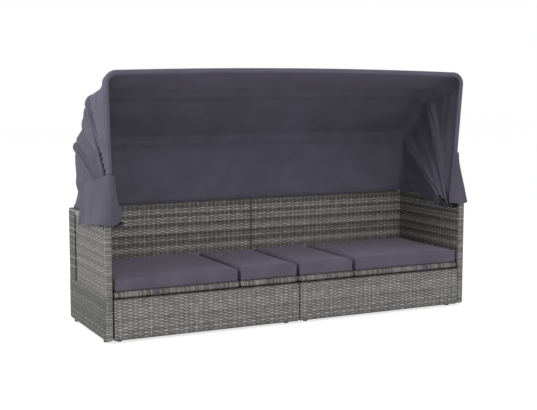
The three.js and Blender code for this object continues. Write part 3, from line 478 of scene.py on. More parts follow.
def woven_skin(name, start, direction, width, height, rise=0.0018, shade=0.0, shadow=0.36,
               mixed=0.26, banded=0.0):
    """A woven face: strips and stakes joined in one mesh that rides on the base."""
    strips, stakes, odd = strip_rows(rise, shadow), stake_run(rise, 0), stake_run(rise, 1)
    for piece in (strips, stakes, odd):
        repeat(piece, (0, 2 * STRIP, 0), math.ceil(height / (2 * STRIP)))
        repeat(piece, (WAVE, 0, 0), math.ceil(width / WAVE) + 1)
        trim(piece, (width, 0, 0), (1, 0, 0))
        trim(piece, (0, height, 0), (0, 1, 0))
        trim(piece, (0, 0, 0), (-1, 0, 0))
        paint_skin(piece, start[2], piece is strips, shade, mixed, banded)
    only(strips)
    stakes.select_set(True)
    odd.select_set(True)
    bpy.ops.object.join()
    strips.name = name
    lay(strips, Vector(start), direction)
    give(strips, woven)
    bpy.ops.object.shade_smooth_by_angle(angle=math.radians(50))
    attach(strips, "base")
    return strips


FACE_LIFT = 0.0002
MARGIN = 0.008
OUTSIDE, FIELD_FACE, INSIDE = 1.0, 0.9972, 0.966
OUTER_Y, WOVEN_Y = 0.3, 0.292
INSIDE_Y = (-WOVEN_Y, 0.2675)
BACK_INSIDE = 0.268
APRON_LOOKS = {"shade": 0.03, "shadow": 0.38, "mixed": 0.3}
BACK_LOOKS = {"shade": 0.08, "shadow": 0.42, "mixed": 0.5, "banded": 1.0}
FIELD_Y = (-0.288, 0.166)
FIELD_Z = (0.219, 0.548)
SEAT_LINE = 0.239


def end_panel_skins(side, sign):
    """The outer face has a raised field, a rear strip and a lower field; the inner face has one."""
    low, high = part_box(f"arm_panel_{side}")

    def face(name, x, y_range, z_range, facing, **looks):
        y = y_range[0] if facing > 0 else y_range[1]
        place = (x + facing * FACE_LIFT, y, z_range[0])
        return woven_skin(f"{name}_{side}", place, (0, facing, 0),
                          y_range[1] - y_range[0], z_range[1] - z_range[0], **looks)

    return [
        face("weave_end_field", sign * FIELD_FACE, FIELD_Y, (FIELD_Z[0] + 0.002, FIELD_Z[1]), sign,
             rise=0.0028, shade=-0.13, banded=0.25),
        # Painted shade: the lower field is painted much darker than the rest.
        face("weave_end_lower", sign * OUTSIDE, (-WOVEN_Y, WOVEN_Y),
             (low.z + MARGIN, FIELD_Z[0] - 0.003), sign, rise=0.0022, shade=-0.5, mixed=0.8),
        # Painted shade: the right inner face is painted a shade darker than the left one.
        face("weave_end_inside", sign * INSIDE, INSIDE_Y, (SEAT_LINE, high.z - 0.004), -sign,
             shade=-0.01 if sign > 0 else 0.03, shadow=0.42, mixed=0.5, banded=0.6),
    ]


def long_panel_skins(side):
    """Aprons and backs, woven in front and behind."""
    made = []
    for node, y, facing, rise, looks in (("front_apron", -OUTER_Y, 1, 0.0026, APRON_LOOKS),
                                         ("rear_apron", OUTER_Y, -1, 0.0026, APRON_LOOKS),
                                         ("back_panel", BACK_INSIDE, 1, 0.0017, BACK_LOOKS),
                                         ("back_panel", OUTER_Y, -1, 0.0026, BACK_LOOKS)):
        low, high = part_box(f"{node}_{side}")
        bottom = SEAT_LINE if y == BACK_INSIDE else low.z + MARGIN
        left, right = low.x + 0.003, high.x - 0.003
        where = "front" if facing > 0 else "behind"
        made.append(woven_skin(f"weave_{node}_{where}_{side}",
                               (left if facing > 0 else right, y - facing * FACE_LIFT, bottom),
                               (facing, 0, 0), right - left, high.z - 0.006 - bottom,
                               rise=rise, **looks))
    return made


woven_faces = []
for side, sign in SIDES:
    woven_faces += end_panel_skins(side, sign) + long_panel_skins(side)
print(len(woven_faces), "woven faces,", sum(len(p.data.polygons) for p in woven_faces), "faces in all")

# %% [markdown]
# ## Metal and plastic
# The seat frames, stays, plates and hoops are powder-coated black: dark, half dull, with the fine
# orange-peel of baked powder. Hinge rods and notched rails are zinc plated. The feet are moulded
# black plastic, slightly worn.

# %% Metal and plastic finishes
def powder_black():
    material, tree, shader = new_finish("black_powder_coat", (0.018, 0.018, 0.02), 0.42)
    place = add(tree, "TexCoord").outputs["Object"]
    peel = noise(tree, place, 900.0, 2.0)
    wear = noise(tree, place, 14.0, 5.0)
    tree.links.new(ramp(tree, wear, ((0.3, (0.014, 0.014, 0.016)), (0.75, (0.03, 0.03, 0.032)))),
                   shader.inputs["Base Color"])
    tree.links.new(maths(tree, "MULTIPLY_ADD", wear, 0.2, 0.32), shader.inputs["Roughness"])
    bump(tree, shader, peel, 0.0001)
    return material


def zinc():
    material, tree, shader = new_finish("zinc_plate", (0.55, 0.56, 0.57), 0.35, 0.9)
    place = add(tree, "TexCoord").outputs["Object"]
    spangle = add(tree, "TexVoronoi", {"Vector": place, "Scale": 140.0}).outputs["Distance"]
    tree.links.new(ramp(tree, spangle, ((0.1, (0.42, 0.43, 0.44)), (0.8, (0.62, 0.63, 0.64)))),
                   shader.inputs["Base Color"])
    tree.links.new(maths(tree, "MULTIPLY_ADD", spangle, 0.25, 0.25), shader.inputs["Roughness"])
    bump(tree, shader, spangle, 0.00005)
    return material


def moulded_black():
    material, tree, shader = new_finish("moulded_black", (0.015, 0.015, 0.016), 0.5)
    place = add(tree, "TexCoord").outputs["Object"]
    grain = noise(tree, place, 1500.0, 1.0)
    scuff = noise(tree, place, 60.0, 4.0)
    tree.links.new(ramp(tree, scuff, ((0.4, (0.012, 0.012, 0.013)), (0.8, (0.04, 0.04, 0.04)))),
                   shader.inputs["Base Color"])
    bump(tree, shader, grain, 0.0001)
    return material


black_steel, zinc_steel, black_plastic = powder_black(), zinc(), moulded_black()
for name, node in nodes.items():
    if name.startswith(("seat_frame", "stay_", "pivot_", "hoop_")):
        give(node, black_steel)
    elif name.startswith(("hinge_rod", "notched_rail")):
        give(node, zinc_steel)
    elif name.startswith("foot_"):
        give(node, black_plastic)
print("metal and plastic given")

# %% [markdown]
# ## Cloth
# The cushion covers are a plain woven polyester and the canopy is a closer, coated one. Both have
# crossed threads finer than a millimetre, slight clouding from handling, and a soft sheen at grazing
# angles. The threads are crossed waves on the cloth's own place. The skirts wear the canopy's cloth
# painted a shade darker, as they look in the photograph: the darkening is painted shade.

# %% Cloth finishes
def cloth_finish(name, dark, light, thread, roughness, sheen):
    """Crossed threads, clouding and sheen; the thread is the width of one wave."""
    material, tree, shader = new_finish(name, light, roughness)
    place = add(tree, "TexCoord").outputs["Object"]
    cloud = noise(tree, place, 7.0, 5.0)
    fleck = noise(tree, place, 800.0, 1.0)
    mixed = maths(tree, "MULTIPLY_ADD", maths(tree, "SUBTRACT", fleck, 0.5), 0.7, cloud)
    tree.links.new(ramp(tree, mixed, ((0.3, dark), (0.7, light))), shader.inputs["Base Color"])
    axes = add(tree, "SeparateXYZ", {0: place}).outputs
    threads = [maths(tree, "SINE", maths(tree, "MULTIPLY", axes[axis], 2 * math.pi / thread))
               for axis in "XYZ"]
    crossed = maths(tree, "ADD", maths(tree, "ADD", threads[0], threads[1]), threads[2])
    bump(tree, shader, crossed, thread * 0.1, 0.5)
    for key, value in (("Sheen Weight", sheen), ("Sheen Roughness", 0.5),
                       ("Sheen Tint", (0.85, 0.8, 1.0, 1.0)), ("Specular IOR Level", 0.08)):
        shader.inputs[key].default_value = value
    return material


cushion_cloth = cloth_finish("cushion_cloth", (0.085, 0.078, 0.105), (0.113, 0.105, 0.139),
                             thread=0.0012, roughness=0.9, sheen=0.28)
canopy_cloth = cloth_finish("canopy_cloth", (0.092, 0.086, 0.114), (0.118, 0.111, 0.148),
                            thread=0.0008, roughness=0.85, sheen=0.08)
# Painted shade: the skirts wear a darker copy of the canopy's cloth.
skirt_cloth_painted_shade = cloth_finish("skirt_cloth_painted_shade", (0.076, 0.071, 0.094), (0.098, 0.092, 0.123),
                           thread=0.0008, roughness=0.85, sheen=0.08)
print("cloth:", cushion_cloth.name, canopy_cloth.name, skirt_cloth_painted_shade.name)

# %% [markdown]
# ## Cushions
# A cushion is a foam slab in a sewn cover: nearly flat on top, full at the edges, drawn in a little
# along its sides. It starts as a box with rounded edges, is remeshed evenly, and is then blown up
# from inside as cloth, so its corners and edges take the strain as a real cover does. Where it lies
# on its board or presses on its neighbour it stays flat.

# %% Stuff a cushion
CUSHION_SWELL = 0.006
CUSHION_EDGE = 0.009
CUSHION_POINTS = 0.006
OUTER_REACH = 0.0055
STUFFING_STEPS = 20


def fade(value, low, high):
    """0 below the low value, 1 above the high one, smooth between."""
    share = np.clip((value - low) / (high - low), 0, 1)
    return share * share * (3 - 2 * share)


def soft_box(name, low, high, edge):
    """A box with rounded edges between two corners."""
    bpy.ops.object.select_all(action="DESELECT")
    size, middle = high - low, (high + low) / 2
    bpy.ops.mesh.primitive_cube_add(size=1, location=(0, 0, 0))
    piece = bpy.context.object
    piece.name = name
    bpy.ops.object.mode_set(mode="EDIT")
    bpy.ops.transform.resize(value=tuple(size))
    bpy.ops.transform.translate(value=tuple(middle))
    bpy.ops.mesh.bevel(offset=edge, segments=4, affect="EDGES")
    bpy.ops.object.mode_set(mode="OBJECT")
    return piece


def stuff(piece):
    """Cloth under pressure for a moment; no point moves further than the swell."""
    before = np.array([v.co for v in piece.data.vertices])
    only(piece)
    cloth = piece.modifiers.new("cover", "CLOTH")
    settings = cloth.settings
    settings.use_pressure = True
    settings.uniform_pressure_force = 4
    settings.effector_weights.gravity = 0
    settings.tension_stiffness = 25
    settings.bending_stiffness = 3
    for step in range(1, STUFFING_STEPS + 1):
        bpy.context.scene.frame_set(step)
    bpy.ops.object.modifier_apply(modifier=cloth.name)
    bpy.context.scene.frame_set(1)
    after = np.array([v.co for v in piece.data.vertices])
    moved = after - before
    length = np.linalg.norm(moved, axis=1, keepdims=True)
    moved *= np.minimum(1.0, CUSHION_SWELL / np.maximum(length, 1e-9))
    return before + moved


def cushion(name, node):
    low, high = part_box(node)
    swell = Vector((CUSHION_SWELL, CUSHION_SWELL, 0)) * 0.45
    piece = soft_box(name, low + swell, high - swell - Vector((0, 0, 0.003)), CUSHION_EDGE)
    piece.data.remesh_voxel_size = CUSHION_POINTS
    only(piece)
    bpy.ops.object.voxel_remesh()
    points = np.array([v.co for v in piece.data.vertices])
    points = stuff(piece)
    points[:, 2] = np.maximum(points[:, 2], low.z)
    end = max(abs(low.x), abs(high.x))
    outer = fade(np.abs(points[:, 0]), end - 0.1, end) * (OUTER_REACH if end > 0.9 else 0.0)
    across = np.clip(points[:, 0], low.x - 0.0008, high.x + 0.0008)
    points[:, 0] = across + np.sign(points[:, 0]) * outer
    points[:, 1] = np.clip(points[:, 1], low.y - 0.004, high.y + 0.001)
    piece.data.vertices.foreach_set("co", points.ravel())
    modify(piece, "SUBSURF", levels=1, render_levels=1)
    bpy.ops.object.shade_smooth()
    give(piece, cushion_cloth)
    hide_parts(node)
    return piece


for side, sign in SIDES:
    middle = cushion(f"seat_cushion_{side}", f"cushion_middle_{side}")
    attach(middle, "base")
    outer = cushion(f"backrest_cushion_{side}", f"cushion_backrest_{side}")
    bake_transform(outer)
    print(side, "cushions:", len(middle.data.vertices), "and", len(outer.data.vertices), "points")

# %% [markdown]
# ## Straps
# Each backrest cushion is held by a webbing strap that goes round the front edge of its board. It is
# flat webbing, so it is bent directly: a band follows the board's rounded edge and ends under it.

# %% Bend the straps
STRAP_RADIUS, STRAP_THICKNESS = 0.0146, 0.0014
BOARD_ROUNDING = 0.014
STRAP_TAIL = 0.0275


def strap(side):
    """A band bent round the board's front edge, a little outside its rounding."""
    low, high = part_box(f"strap_{side}")
    board_low, board_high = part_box(f"backrest_board_{side}")
    centre = Vector((0, board_low.y + BOARD_ROUNDING, board_high.z - BOARD_ROUNDING))
    line = [(centre.y + STRAP_RADIUS * math.cos(a), centre.z + STRAP_RADIUS * math.sin(a))
            for a in np.linspace(math.radians(98), math.radians(270), 19)]
    line.append((low.y + STRAP_TAIL, centre.z - STRAP_RADIUS))
    piece = grid(f"webbing_{side}", 6, len(line) - 1, high.x - low.x, 1.0)
    for vertex in piece.data.vertices:
        index = round(vertex.co.y * (len(line) - 1))
        vertex.co = (low.x + vertex.co.x, *line[index])
    modify(piece, "SOLIDIFY", thickness=STRAP_THICKNESS, offset=1.0)
    face_outwards(piece)
    bpy.ops.object.shade_smooth_by_angle(angle=math.radians(40))
    give(piece, cushion_cloth)
    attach(piece, f"backrest_{side}")
    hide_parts(f"strap_{side}")
    return piece


for side, _ in SIDES:
    strap(side)
print("straps bent")

# %% [markdown]
# ## Canopy
# The canopy is one cover over three hoops that fan out from a bolt at each end. On top the cloth hangs
# in a shallow trough from hoop to hoop. At the sides the hoops come together, so there is too much
# cloth: it is drawn inwards and gathers into folds that deepen towards the bolt. The shape is worked
# out point by point, because folds placed one by one match the photograph better than dropped cloth.
# A hoop is its angle behind upright, its height over the bolts, the bow of its top and the place of
# its foot.

# %% Hoops and the lines that the cloth is sewn to
PIVOT = np.array((0.0, -0.244, 0.548))
LEG_X, CORNER, UPRIGHT = 0.976, 0.05, 0.018
CLOTH_OFFSET = 0.0133
LOWEST_Z = 0.5757
HOOPS = {"front": (-3.0, 0.69167, 0.014, 0.9523),
         "middle": (26.0, 0.64976, 0.003, 0.9303),
         "rear": (56.0, 0.62965, 0.003, 0.9083)}
LEG_POINTS, CORNER_POINTS, TOP_POINTS = 90, 14, 40
TURN = np.linspace(0, math.pi / 2, CORNER_POINTS, endpoint=False)


def in_hoop_plane(angle, across, distance):
    """Points of a hoop's plane: how far sideways, and how far from the bolts."""
    turn = math.radians(angle)
    return np.stack((across, PIVOT[1] + distance * math.sin(turn),
                     PIVOT[2] + distance * math.cos(turn)), axis=-1)


def ridge(value, place, width):
    """A smooth rise to 1 at a place, and down again."""
    return np.exp(-((value - place) / width) ** 2)


def mirrored(half):
    """A half line from right hem to the middle of the top, made whole from left to right."""
    left = half * np.array((-1.0, 1.0, 1.0))
    return np.concatenate((left, half[-2::-1]))


def hoop_half(hoop, first):
    """Centre of the tube and the direction outwards, up one leg and to the middle of the top."""
    angle, reach, bow, foot = HOOPS[hoop]
    leg = reach - CORNER
    up = np.linspace(first, leg, LEG_POINTS, endpoint=False)
    leg_x = foot + (LEG_X - foot) * np.maximum(up - UPRIGHT, 0) / (leg - UPRIGHT)
    over = np.linspace(LEG_X - CORNER, 0, TOP_POINTS + 1)
    across = np.concatenate((leg_x, LEG_X - CORNER + CORNER * np.cos(TURN), over))
    distance = np.concatenate((up, leg + CORNER * np.sin(TURN),
                               reach + bow * (1 - (over / (LEG_X - CORNER)) ** 2)))
    sideways = np.concatenate((np.ones(LEG_POINTS), np.cos(TURN), np.zeros(TOP_POINTS + 1)))
    upwards = np.sqrt(1 - sideways ** 2)
    centre = in_hoop_plane(angle, across, distance)
    return centre, in_hoop_plane(angle, sideways, upwards) - PIVOT


def hoop_lines(hoop, first=None):
    """Tube centre and outward direction of every column of the cloth, from left to right."""
    angle = math.radians(HOOPS[hoop][0])
    start = (LOWEST_Z - PIVOT[2]) / math.cos(angle) if first is None else first
    return [mirrored(half) for half in hoop_half(hoop, start)]


def hem_half():
    """Inside the end panel's top, over it to the rear corner, and down behind the back."""
    front_y = PIVOT[1] + (LOWEST_Z - PIVOT[2]) * math.tan(math.radians(HOOPS["rear"][0]))
    share = np.linspace(0, 1, LEG_POINTS, endpoint=False)
    tongue = ridge(share, 0.13, 0.13)
    inside = 0.9265 + 0.036 * fade(share, 0.0, 0.3) + 0.002 * fade(share, 0.42, 0.48)
    side = np.stack((inside + 0.0075 * fade(share, 0.56, 0.68) - 0.012 * tongue,
                     front_y + (0.288 - front_y) * share,
                     0.5625 + 0.0116 * fade(share, 0.50, 0.57) - 0.026 * tongue), axis=-1)
    round_corner = np.stack((0.928 + 0.044 * np.cos(TURN) ** 0.6,
                             0.288 + 0.0305 * np.sin(TURN) ** 0.6,
                             0.5741 - 0.0219 * np.sin(TURN) ** 2), axis=-1)
    over = np.linspace(0.928, 0, TOP_POINTS + 1)
    behind = np.stack((over, np.full_like(over, 0.3185), np.full_like(over, 0.5522)), axis=-1)
    return np.concatenate((side, round_corner, behind))


lines = {}
for hoop in HOOPS:
    centre, outward = hoop_lines(hoop)
    lines[hoop] = centre + outward * CLOTH_OFFSET
lines["hem"] = mirrored(hem_half())
print("each line has", len(lines["front"]), "points")

# %% [markdown]
# Every fold is a smooth ridge: it has a place between the two hoops, a width, and a range of heights.
# Where the hoops' corners push the cloth out, a sharp crease runs beside the hoop, and the seam at
# the middle hoop is puckered, because its thread is tighter than the cloth. The cover passes under the
# middle and rear hoops, so from outside they stand in its valleys. The folds on the right are flatter.

# %% Folds of the sides
def both_sides(half):
    """Values of a half line, from left hem to right hem."""
    return np.concatenate((half, half[-2::-1]))


HEIGHTS = both_sides(np.concatenate((np.linspace(0, 1, LEG_POINTS, endpoint=False),
                                     np.ones(CORNER_POINTS + TOP_POINTS + 1))))
SIDENESS = both_sides(np.concatenate((np.ones(LEG_POINTS), np.cos(TURN) ** 0.7,
                                      np.zeros(TOP_POINTS + 1))))
CORNERNESS = both_sides(np.concatenate((fade(np.linspace(0, 1, LEG_POINTS), 0.7, 1.0),
                                        np.ones(CORNER_POINTS),
                                        1 - fade(np.linspace(0, 6, TOP_POINTS + 1), 0.0, 1.0))))
CREASES = 9
CREASE_DEPTH = 0.0017
PUCKERS_UP_A_LEG = 20


def crumple(points):
    """Small creases in every direction, a few millimetres deep."""
    pick = np.random.default_rng(5)
    depth = np.zeros(points.shape[:-1])
    for _ in range(CREASES):
        turn, length = pick.uniform(0, math.pi), pick.uniform(0.05, 0.13)
        along = points[..., 1] * math.cos(turn) + points[..., 2] * math.sin(turn)
        bend = 0.012 * np.sin(points[..., 2] * 31 + points[..., 1] * 23 + 9 * turn)
        depth += np.abs(np.sin((along + bend) * math.pi / length + 7 * turn)) ** 0.7
    return CREASE_DEPTH * (depth - 5.8)


def slit(points):
    """A deep fold in the cover's left side, just behind the skirt's rear edge."""
    behind, up = points[..., 1], points[..., 2]
    middle = 0.075 + 0.85 * (0.735 - up)
    only_left = points[..., 0] < 0
    lower, upper = fade(up, 0.585, 0.625), 1 - fade(up, 0.67, 0.72)
    return 0.045 * only_left * ridge(behind, middle, 0.017) * lower * upper


def stitched(height):
    """Puckers of a seam up a hoop's leg, about every 30 mm."""
    puckers = 0.3 + 0.7 * np.cos(2 * math.pi * height * PUCKERS_UP_A_LEG)
    return puckers * fade(height, 0.14, 0.3) * (1 - fade(height, 0.62, 0.8))


def front_folds(share, height, turned, first, last):
    """How far the side is drawn in between the front and middle hoops."""
    drawn = 0.009 * np.sin(math.pi * height) + 0.042 * (1 - height) ** 3 + 0.017 * height ** 2
    gather = 1 + 0.3 * np.sin(11 * share + 5 * height + turned) * (1 - height)
    slanting = 0.011 * ridge(share, 0.25 + 0.55 * (1 - height), 0.12) * fade(height, 0.35, 0.7)
    second = 0.008 * ridge(share, 0.55 + 0.4 * (1 - height), 0.08) * fade(height, 0.5, 0.85)
    deepened = fade(height, 0.6, 0.85) * (1 + 0.8 * fade(height, 0.8, 0.95))
    crease = 0.030 * ridge(last, 0.032, 0.010) * deepened
    seam = 0.010 * ridge(last, 0.024, 0.008) * stitched(height)
    sleeve_edge = 0.005 * ridge(first, 0.053, 0.008) * fade(height, 0.1, 0.3)
    gathered = drawn * gather * np.sin(math.pi * share ** 1.2)
    return gathered + slanting + second + crease + seam + sleeve_edge


def middle_folds(share, height, turned, first, last):
    """The same between the middle and rear hoops."""
    drawn = 0.034 * np.sin(math.pi * height) + 0.045 * (1 - height) ** 2 + 0.015 * height ** 2
    gather = 1 + 0.2 * np.sin(13 * share + 6 * height + turned) * (1 - height)
    crease = 0.022 * ridge(last, 0.030, 0.011) * fade(height, 0.55, 0.9)
    seam = 0.006 * ridge(last, 0.022, 0.008) * stitched(height)
    long_fold = 0.007 * ridge(share, 0.3 + 0.3 * height, 0.07)
    return drawn * gather * np.sin(math.pi * share ** 1.4) + crease + seam + long_fold


def rear_folds(share, height, turned, first, last):
    """The same between the rear hoop and the hem."""
    drawn = (0.008 + 0.016 * ridge(height, 0.75, 0.22)) * np.sin(math.pi * share)
    near_hem = fade(share, 0.55, 0.9) * (1 - fade(share, 0.94, 1.0))
    hem_wave = 0.004 * np.sin(19 * height + turned) * near_hem
    long_fold = 0.008 * ridge(share, 0.35 + 0.4 * height, 0.09)
    deep = 0.010 * np.sin(math.pi * share) * (1 - fade(height, 0.08, 0.42))
    return drawn + hem_wave + long_fold + deep


def span(start, end):
    """How far each column of the cloth runs between two lines."""
    return np.linalg.norm(lines[end] - lines[start], axis=1)


RIGHT_FULLNESS = 0.4
UNDER_HOOP = 0.0247
SLOPES = {"middle": (0.030, 0.013), "rear": (0.036, 0.013)}


def under_hoop(hoop, distance, side):
    """How far the cover dips to pass under a hoop: gently behind it (side 0), steeply before it."""
    if hoop not in SLOPES:
        return 0.0
    centre, outward = hoop_lines(hoop)
    from_bolt = np.linalg.norm((centre - PIVOT)[:, 1:], axis=1)[None]
    slope = np.full(len(centre), SLOPES[hoop][side])
    if (hoop, side) == ("middle", 1):
        slope = slope + 0.009 * (1 - fade(HEIGHTS, 0.5, 0.7)) * (1 + stitched(HEIGHTS))
    slope = np.minimum(slope * (1 + 0.9 * fade(centre[:, 0], 0.75, 0.95)), 0.12 * from_bolt)
    return (UNDER_HOOP * np.exp(-(distance / slope) ** 2))[..., None] * outward[None]


def cover_points(start, end, folds, sag, shares):
    """Points of a part of the cover, row by row, for some shares of the way between two lines."""
    share = np.asarray(shares)[:, None]
    points = lines[start][None] + (lines[end] - lines[start])[None] * share[..., None]
    width = span(start, end)[None]
    first, last = share * width, (1 - share) * width
    points -= under_hoop(start, first, 0) + under_hoop(end, last, 1)
    left = np.sign(points[..., 0])
    turned = np.where(left < 0, 0.9, 0.0)
    fullness = np.where(left < 0, 1.0, RIGHT_FULLNESS)
    inwards = folds(share, HEIGHTS[None], turned, first, last) + crumple(points) + slit(points)
    inwards = inwards * SIDENESS[None] * fullness
    held = fade(np.minimum(first, last), 0.008, 0.02)
    points[..., 0] -= left * inwards * held
    towards = PIVOT - points
    towards[..., 0] = 0
    towards /= np.linalg.norm(towards, axis=-1, keepdims=True)
    dip = np.sin(math.pi * share) * (sag * (1 - SIDENESS[None]) + 0.012 * CORNERNESS[None])
    return points + towards * dip[..., None]


print("heights from", HEIGHTS.min(), "to", HEIGHTS.max())

# %% [markdown]
# Each part of the cover is a grid between two lines. A point's share of the way between them is
# written on the part as an attribute.

# %% Cut, lay and finish the parts of the cover
COVER_ROWS = 52
CLOTH_THICKNESS = 0.0014


def mesh_of_rows(name, points, closed=False):
    """A mesh from rows of points; a closed one joins its last row to its first."""
    rows, columns = points.shape[:2]
    grid_index = np.arange(rows * columns).reshape(rows, columns)
    if closed:
        grid_index = np.vstack((grid_index, grid_index[:1]))
    quads = np.stack((grid_index[:-1, :-1], grid_index[:-1, 1:],
                      grid_index[1:, 1:], grid_index[1:, :-1]), -1)
    faces = quads.reshape(-1, 4).tolist()
    if closed:
        faces += [grid_index[:-1, 0].tolist(), grid_index[::-1, -1][1:].tolist()]
    mesh = bpy.data.meshes.new(name)
    mesh.from_pydata(points.reshape(-1, 3).tolist(), [], faces)
    piece = bpy.data.objects.new(name, mesh)
    bpy.context.scene.collection.objects.link(piece)
    return piece


def sheet_area(piece):
    return sum(face.area for face in piece.data.polygons)


def thicken(piece):
    """A thin closed sheet, the thickness going inwards, with a smooth look."""
    modify(piece, "SOLIDIFY", thickness=CLOTH_THICKNESS, offset=-1.0)
    bpy.ops.object.shade_smooth_by_angle(angle=math.radians(60))


def cover_part(start, end, bodies, folds, sag):
    """One part of the cover, finished, with each point's share written on it; the bodies are not used.
    """
    shares = np.linspace(0, 1, COVER_ROWS + 1)
    name = f"cover_{start}"
    piece = mesh_of_rows(name, cover_points(start, end, folds, sag, shares))
    weights = piece.data.attributes.new("share", "FLOAT", "POINT")
    weights.data.foreach_set("value", np.repeat(shares, len(lines[start])).astype(np.float32))
    thicken(piece)
    give(piece, canopy_cloth)
    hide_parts(name.replace("cover", "canopy"))
    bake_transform(piece)
    kept = np.zeros(len(piece.data.vertices), np.float32)
    piece.data.attributes["share"].data.foreach_get("value", kept)
    return piece


COVER = {"front": ("middle", ("hoop_front", "hoop_middle"), front_folds, 0.008),
         "middle": ("rear", ("hoop_middle", "hoop_rear"), middle_folds, 0.008),
         "rear": ("hem", ("hoop_rear", "base"), rear_folds, 0.004)}
canopy = [cover_part(start, *settings) for start, settings in COVER.items()]
print("canopy parts:", [round(sheet_area(part) / 2, 2) for part in canopy], "m2")

# %% [markdown]
# ## Sleeve and pockets
# The cover's front edge is turned round the front hoop and sewn down again on its outside, 44 mm back:
# in section it is a drop with a flat tail. The other two hoops run in close pockets. Each is a loop of
# points carried along the hoop's own line.

# %% Sew the sleeve and the pockets
SLEEVE_RADIUS = 0.0121
TAIL_WIDTHS = (0.044, 0.034, 0.024, 0.014)
BARE_COLUMNS = 24
POCKET_START = 0.075
POCKET_POINTS = 14


def on_cover(start, width):
    """The line of points on the part of the cover behind a hoop, at some width from it."""
    end, _, folds, sag = COVER[start]
    steps = 60
    rows = cover_points(start, end, folds, sag, np.linspace(0, 1, steps + 1))
    place = np.minimum(width / span(start, end), 0.5) * steps
    low = np.clip(place.astype(int), 0, steps - 1)
    rest = (place - low)[:, None]
    index = np.arange(len(low))
    return rows[low, index] * (1 - rest) + rows[low + 1, index] * rest


def finish_cloth_tube(piece):
    face_outwards(piece)
    bpy.ops.object.shade_smooth_by_angle(angle=math.radians(50))
    give(piece, canopy_cloth)


def tube_frame(hoop, first=None):
    """A hoop's centre line, its directions outwards and backwards, and the length run so far."""
    centre, outward = hoop_lines(hoop, first)
    turn = math.radians(HOOPS[hoop][0])
    back = np.array((0, math.cos(turn), -math.sin(turn)))
    along = np.cumsum(np.linalg.norm(np.diff(centre, axis=0, prepend=centre[:1]), axis=1))
    return centre, outward, back, along


def sleeve():
    """The drop section: flat tail on the cover, round the tube, and back to the tail."""
    centre, outward, back, along = tube_frame("front")
    puckers = (0.0032 + 0.0014 * np.cos(along * 150) * SIDENESS)[:, None]
    tail = [on_cover("front", width) for width in TAIL_WIDTHS]
    outer = [tail[0] + outward * 0.0002, tail[0] + outward * 0.0028]
    outer += [row + outward * puckers for row in tail[1:]]
    round_tube = [centre + SLEEVE_RADIUS * (outward * math.cos(a) - back * math.sin(a))
                  for a in np.linspace(math.radians(-18), math.radians(205), 15)]
    under = [row - outward * 0.0020 for row in tail[2::-1]]
    kept = slice(BARE_COLUMNS, -BARE_COLUMNS)
    loop = np.array(outer + round_tube + under)[:, kept]
    piece = mesh_of_rows("sleeve", loop, closed=True)
    finish_cloth_tube(piece)
    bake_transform(piece)
    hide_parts("canopy_sleeve")
    return piece


def pocket(hoop):
    """A close tube of cloth over the hoop, puckered along its seam and closer still near the bolt."""
    centre, outward, back, along = tube_frame(hoop, POCKET_START)
    from_bolt = np.linalg.norm((centre - PIVOT)[:, 1:], axis=1)
    wide = fade(from_bolt, 0.25, 0.33)
    radius = (0.0101 + (0.0011 + 0.0004 * np.cos(along * 210)) * wide)[:, None]
    loop = [centre + radius * (outward * math.cos(a) + back * math.sin(a))
            for a in np.linspace(0, 2 * math.pi, POCKET_POINTS, endpoint=False)]
    piece = mesh_of_rows(f"pocket_{hoop}", np.array(loop), closed=True)
    finish_cloth_tube(piece)
    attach(piece, f"hoop_{hoop}")
    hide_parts(f"canopy_pocket_{hoop}")
    return piece


tubes = [sleeve(), pocket("middle"), pocket("rear")]
print("sewn:", [tube.name for tube in tubes])

# %% [markdown]
# ## Skirts
# Below the sleeve the cloth widens into a skirt that covers the corner of the end panel: outside it,
# round its front, and a little way in. Its two edges are curves in space, and the cloth between them
# is a grid with soft ripples towards the hem. The right skirt hangs higher than the left one.

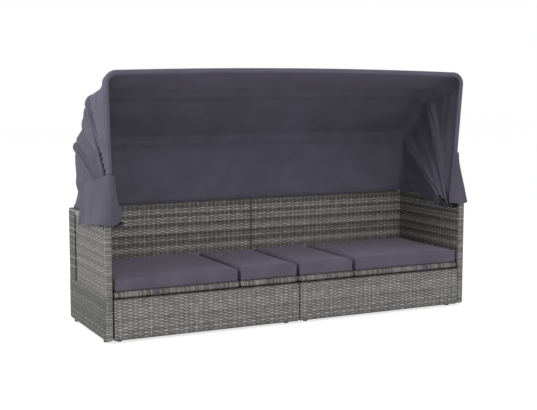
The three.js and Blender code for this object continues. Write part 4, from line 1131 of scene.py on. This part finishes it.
# %% Shape the skirts
def smooth_path(points, count):
    """Points spaced evenly along a smooth curve through a few places."""
    places = np.array(points)
    padded = np.vstack((2 * places[:1] - places[1:2], places, 2 * places[-1:] - places[-2:-1]))
    dense = []
    for a, b, c, d in zip(padded, padded[1:], padded[2:], padded[3:]):
        for t in np.linspace(0, 1, 24, endpoint=False):
            dense.append(0.5 * ((2 * b) + (c - a) * t + (2 * a - 5 * b + 4 * c - d) * t ** 2
                                + (3 * b - a - 3 * c + d) * t ** 3))
    dense = np.array(dense + [places[-1]])
    steps = np.concatenate(([0.0], np.cumsum(np.linalg.norm(np.diff(dense, axis=0), axis=1))))
    evenly = np.linspace(0, steps[-1], count)
    return np.stack([np.interp(evenly, steps, dense[:, axis]) for axis in range(3)], axis=-1)


SKIRT_TOP = ((1.006, -0.050, 0.735), (1.000, -0.160, 0.746), (0.979, -0.262, 0.776),
             (0.962, -0.278, 0.776), (0.944, -0.270, 0.776))
SKIRT_HEM = ((1.020, 0.045, 0.519), (1.020, -0.146, 0.539), (1.020, -0.275, 0.555),
             (1.006, -0.3124, 0.553), (0.963, -0.3124, 0.549), (0.917, -0.272, 0.561))
RIGHT_LIFT = (0.055, 0.018)


def skirt(side, sign):
    columns, rows = 64, 28
    top, hem = smooth_path(SKIRT_TOP, columns + 1), smooth_path(SKIRT_HEM, columns + 1)
    if sign > 0:
        top[:, 2] += RIGHT_LIFT[0] * np.linspace(0.4, 1, columns + 1)
        hem[:, 2] += RIGHT_LIFT[1] * np.linspace(1, 0, columns + 1) ** 0.5
    down = np.linspace(0, 1, rows + 1)[:, None]
    along = np.linspace(0, 1, columns + 1)[None]
    points = top[None] + (hem - top)[None] * down[..., None]
    ripple = 0.004 * down * np.sin(6.5 * math.pi * along + 1.5 * down)
    ripple += 0.0007 * down * np.sin(17 * math.pi * along)
    swell = 0.006 * np.sin(math.pi * down) * (1 - along)
    points[..., 0] += ripple * (1 - along) + swell
    points[..., 1] -= ripple * along * 0.25
    points[..., 0] *= sign
    piece = mesh_of_rows(f"flap_{side}", points if sign < 0 else points[:, ::-1])
    thicken(piece)
    give(piece, skirt_cloth_painted_shade)
    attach(piece, "hoop_front")
    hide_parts(f"skirt_{side}")
    return piece


for side, sign in SIDES:
    flap = skirt(side, sign)
    print(flap.name, "has", round(sheet_area(flap) / 2, 4), "m2")
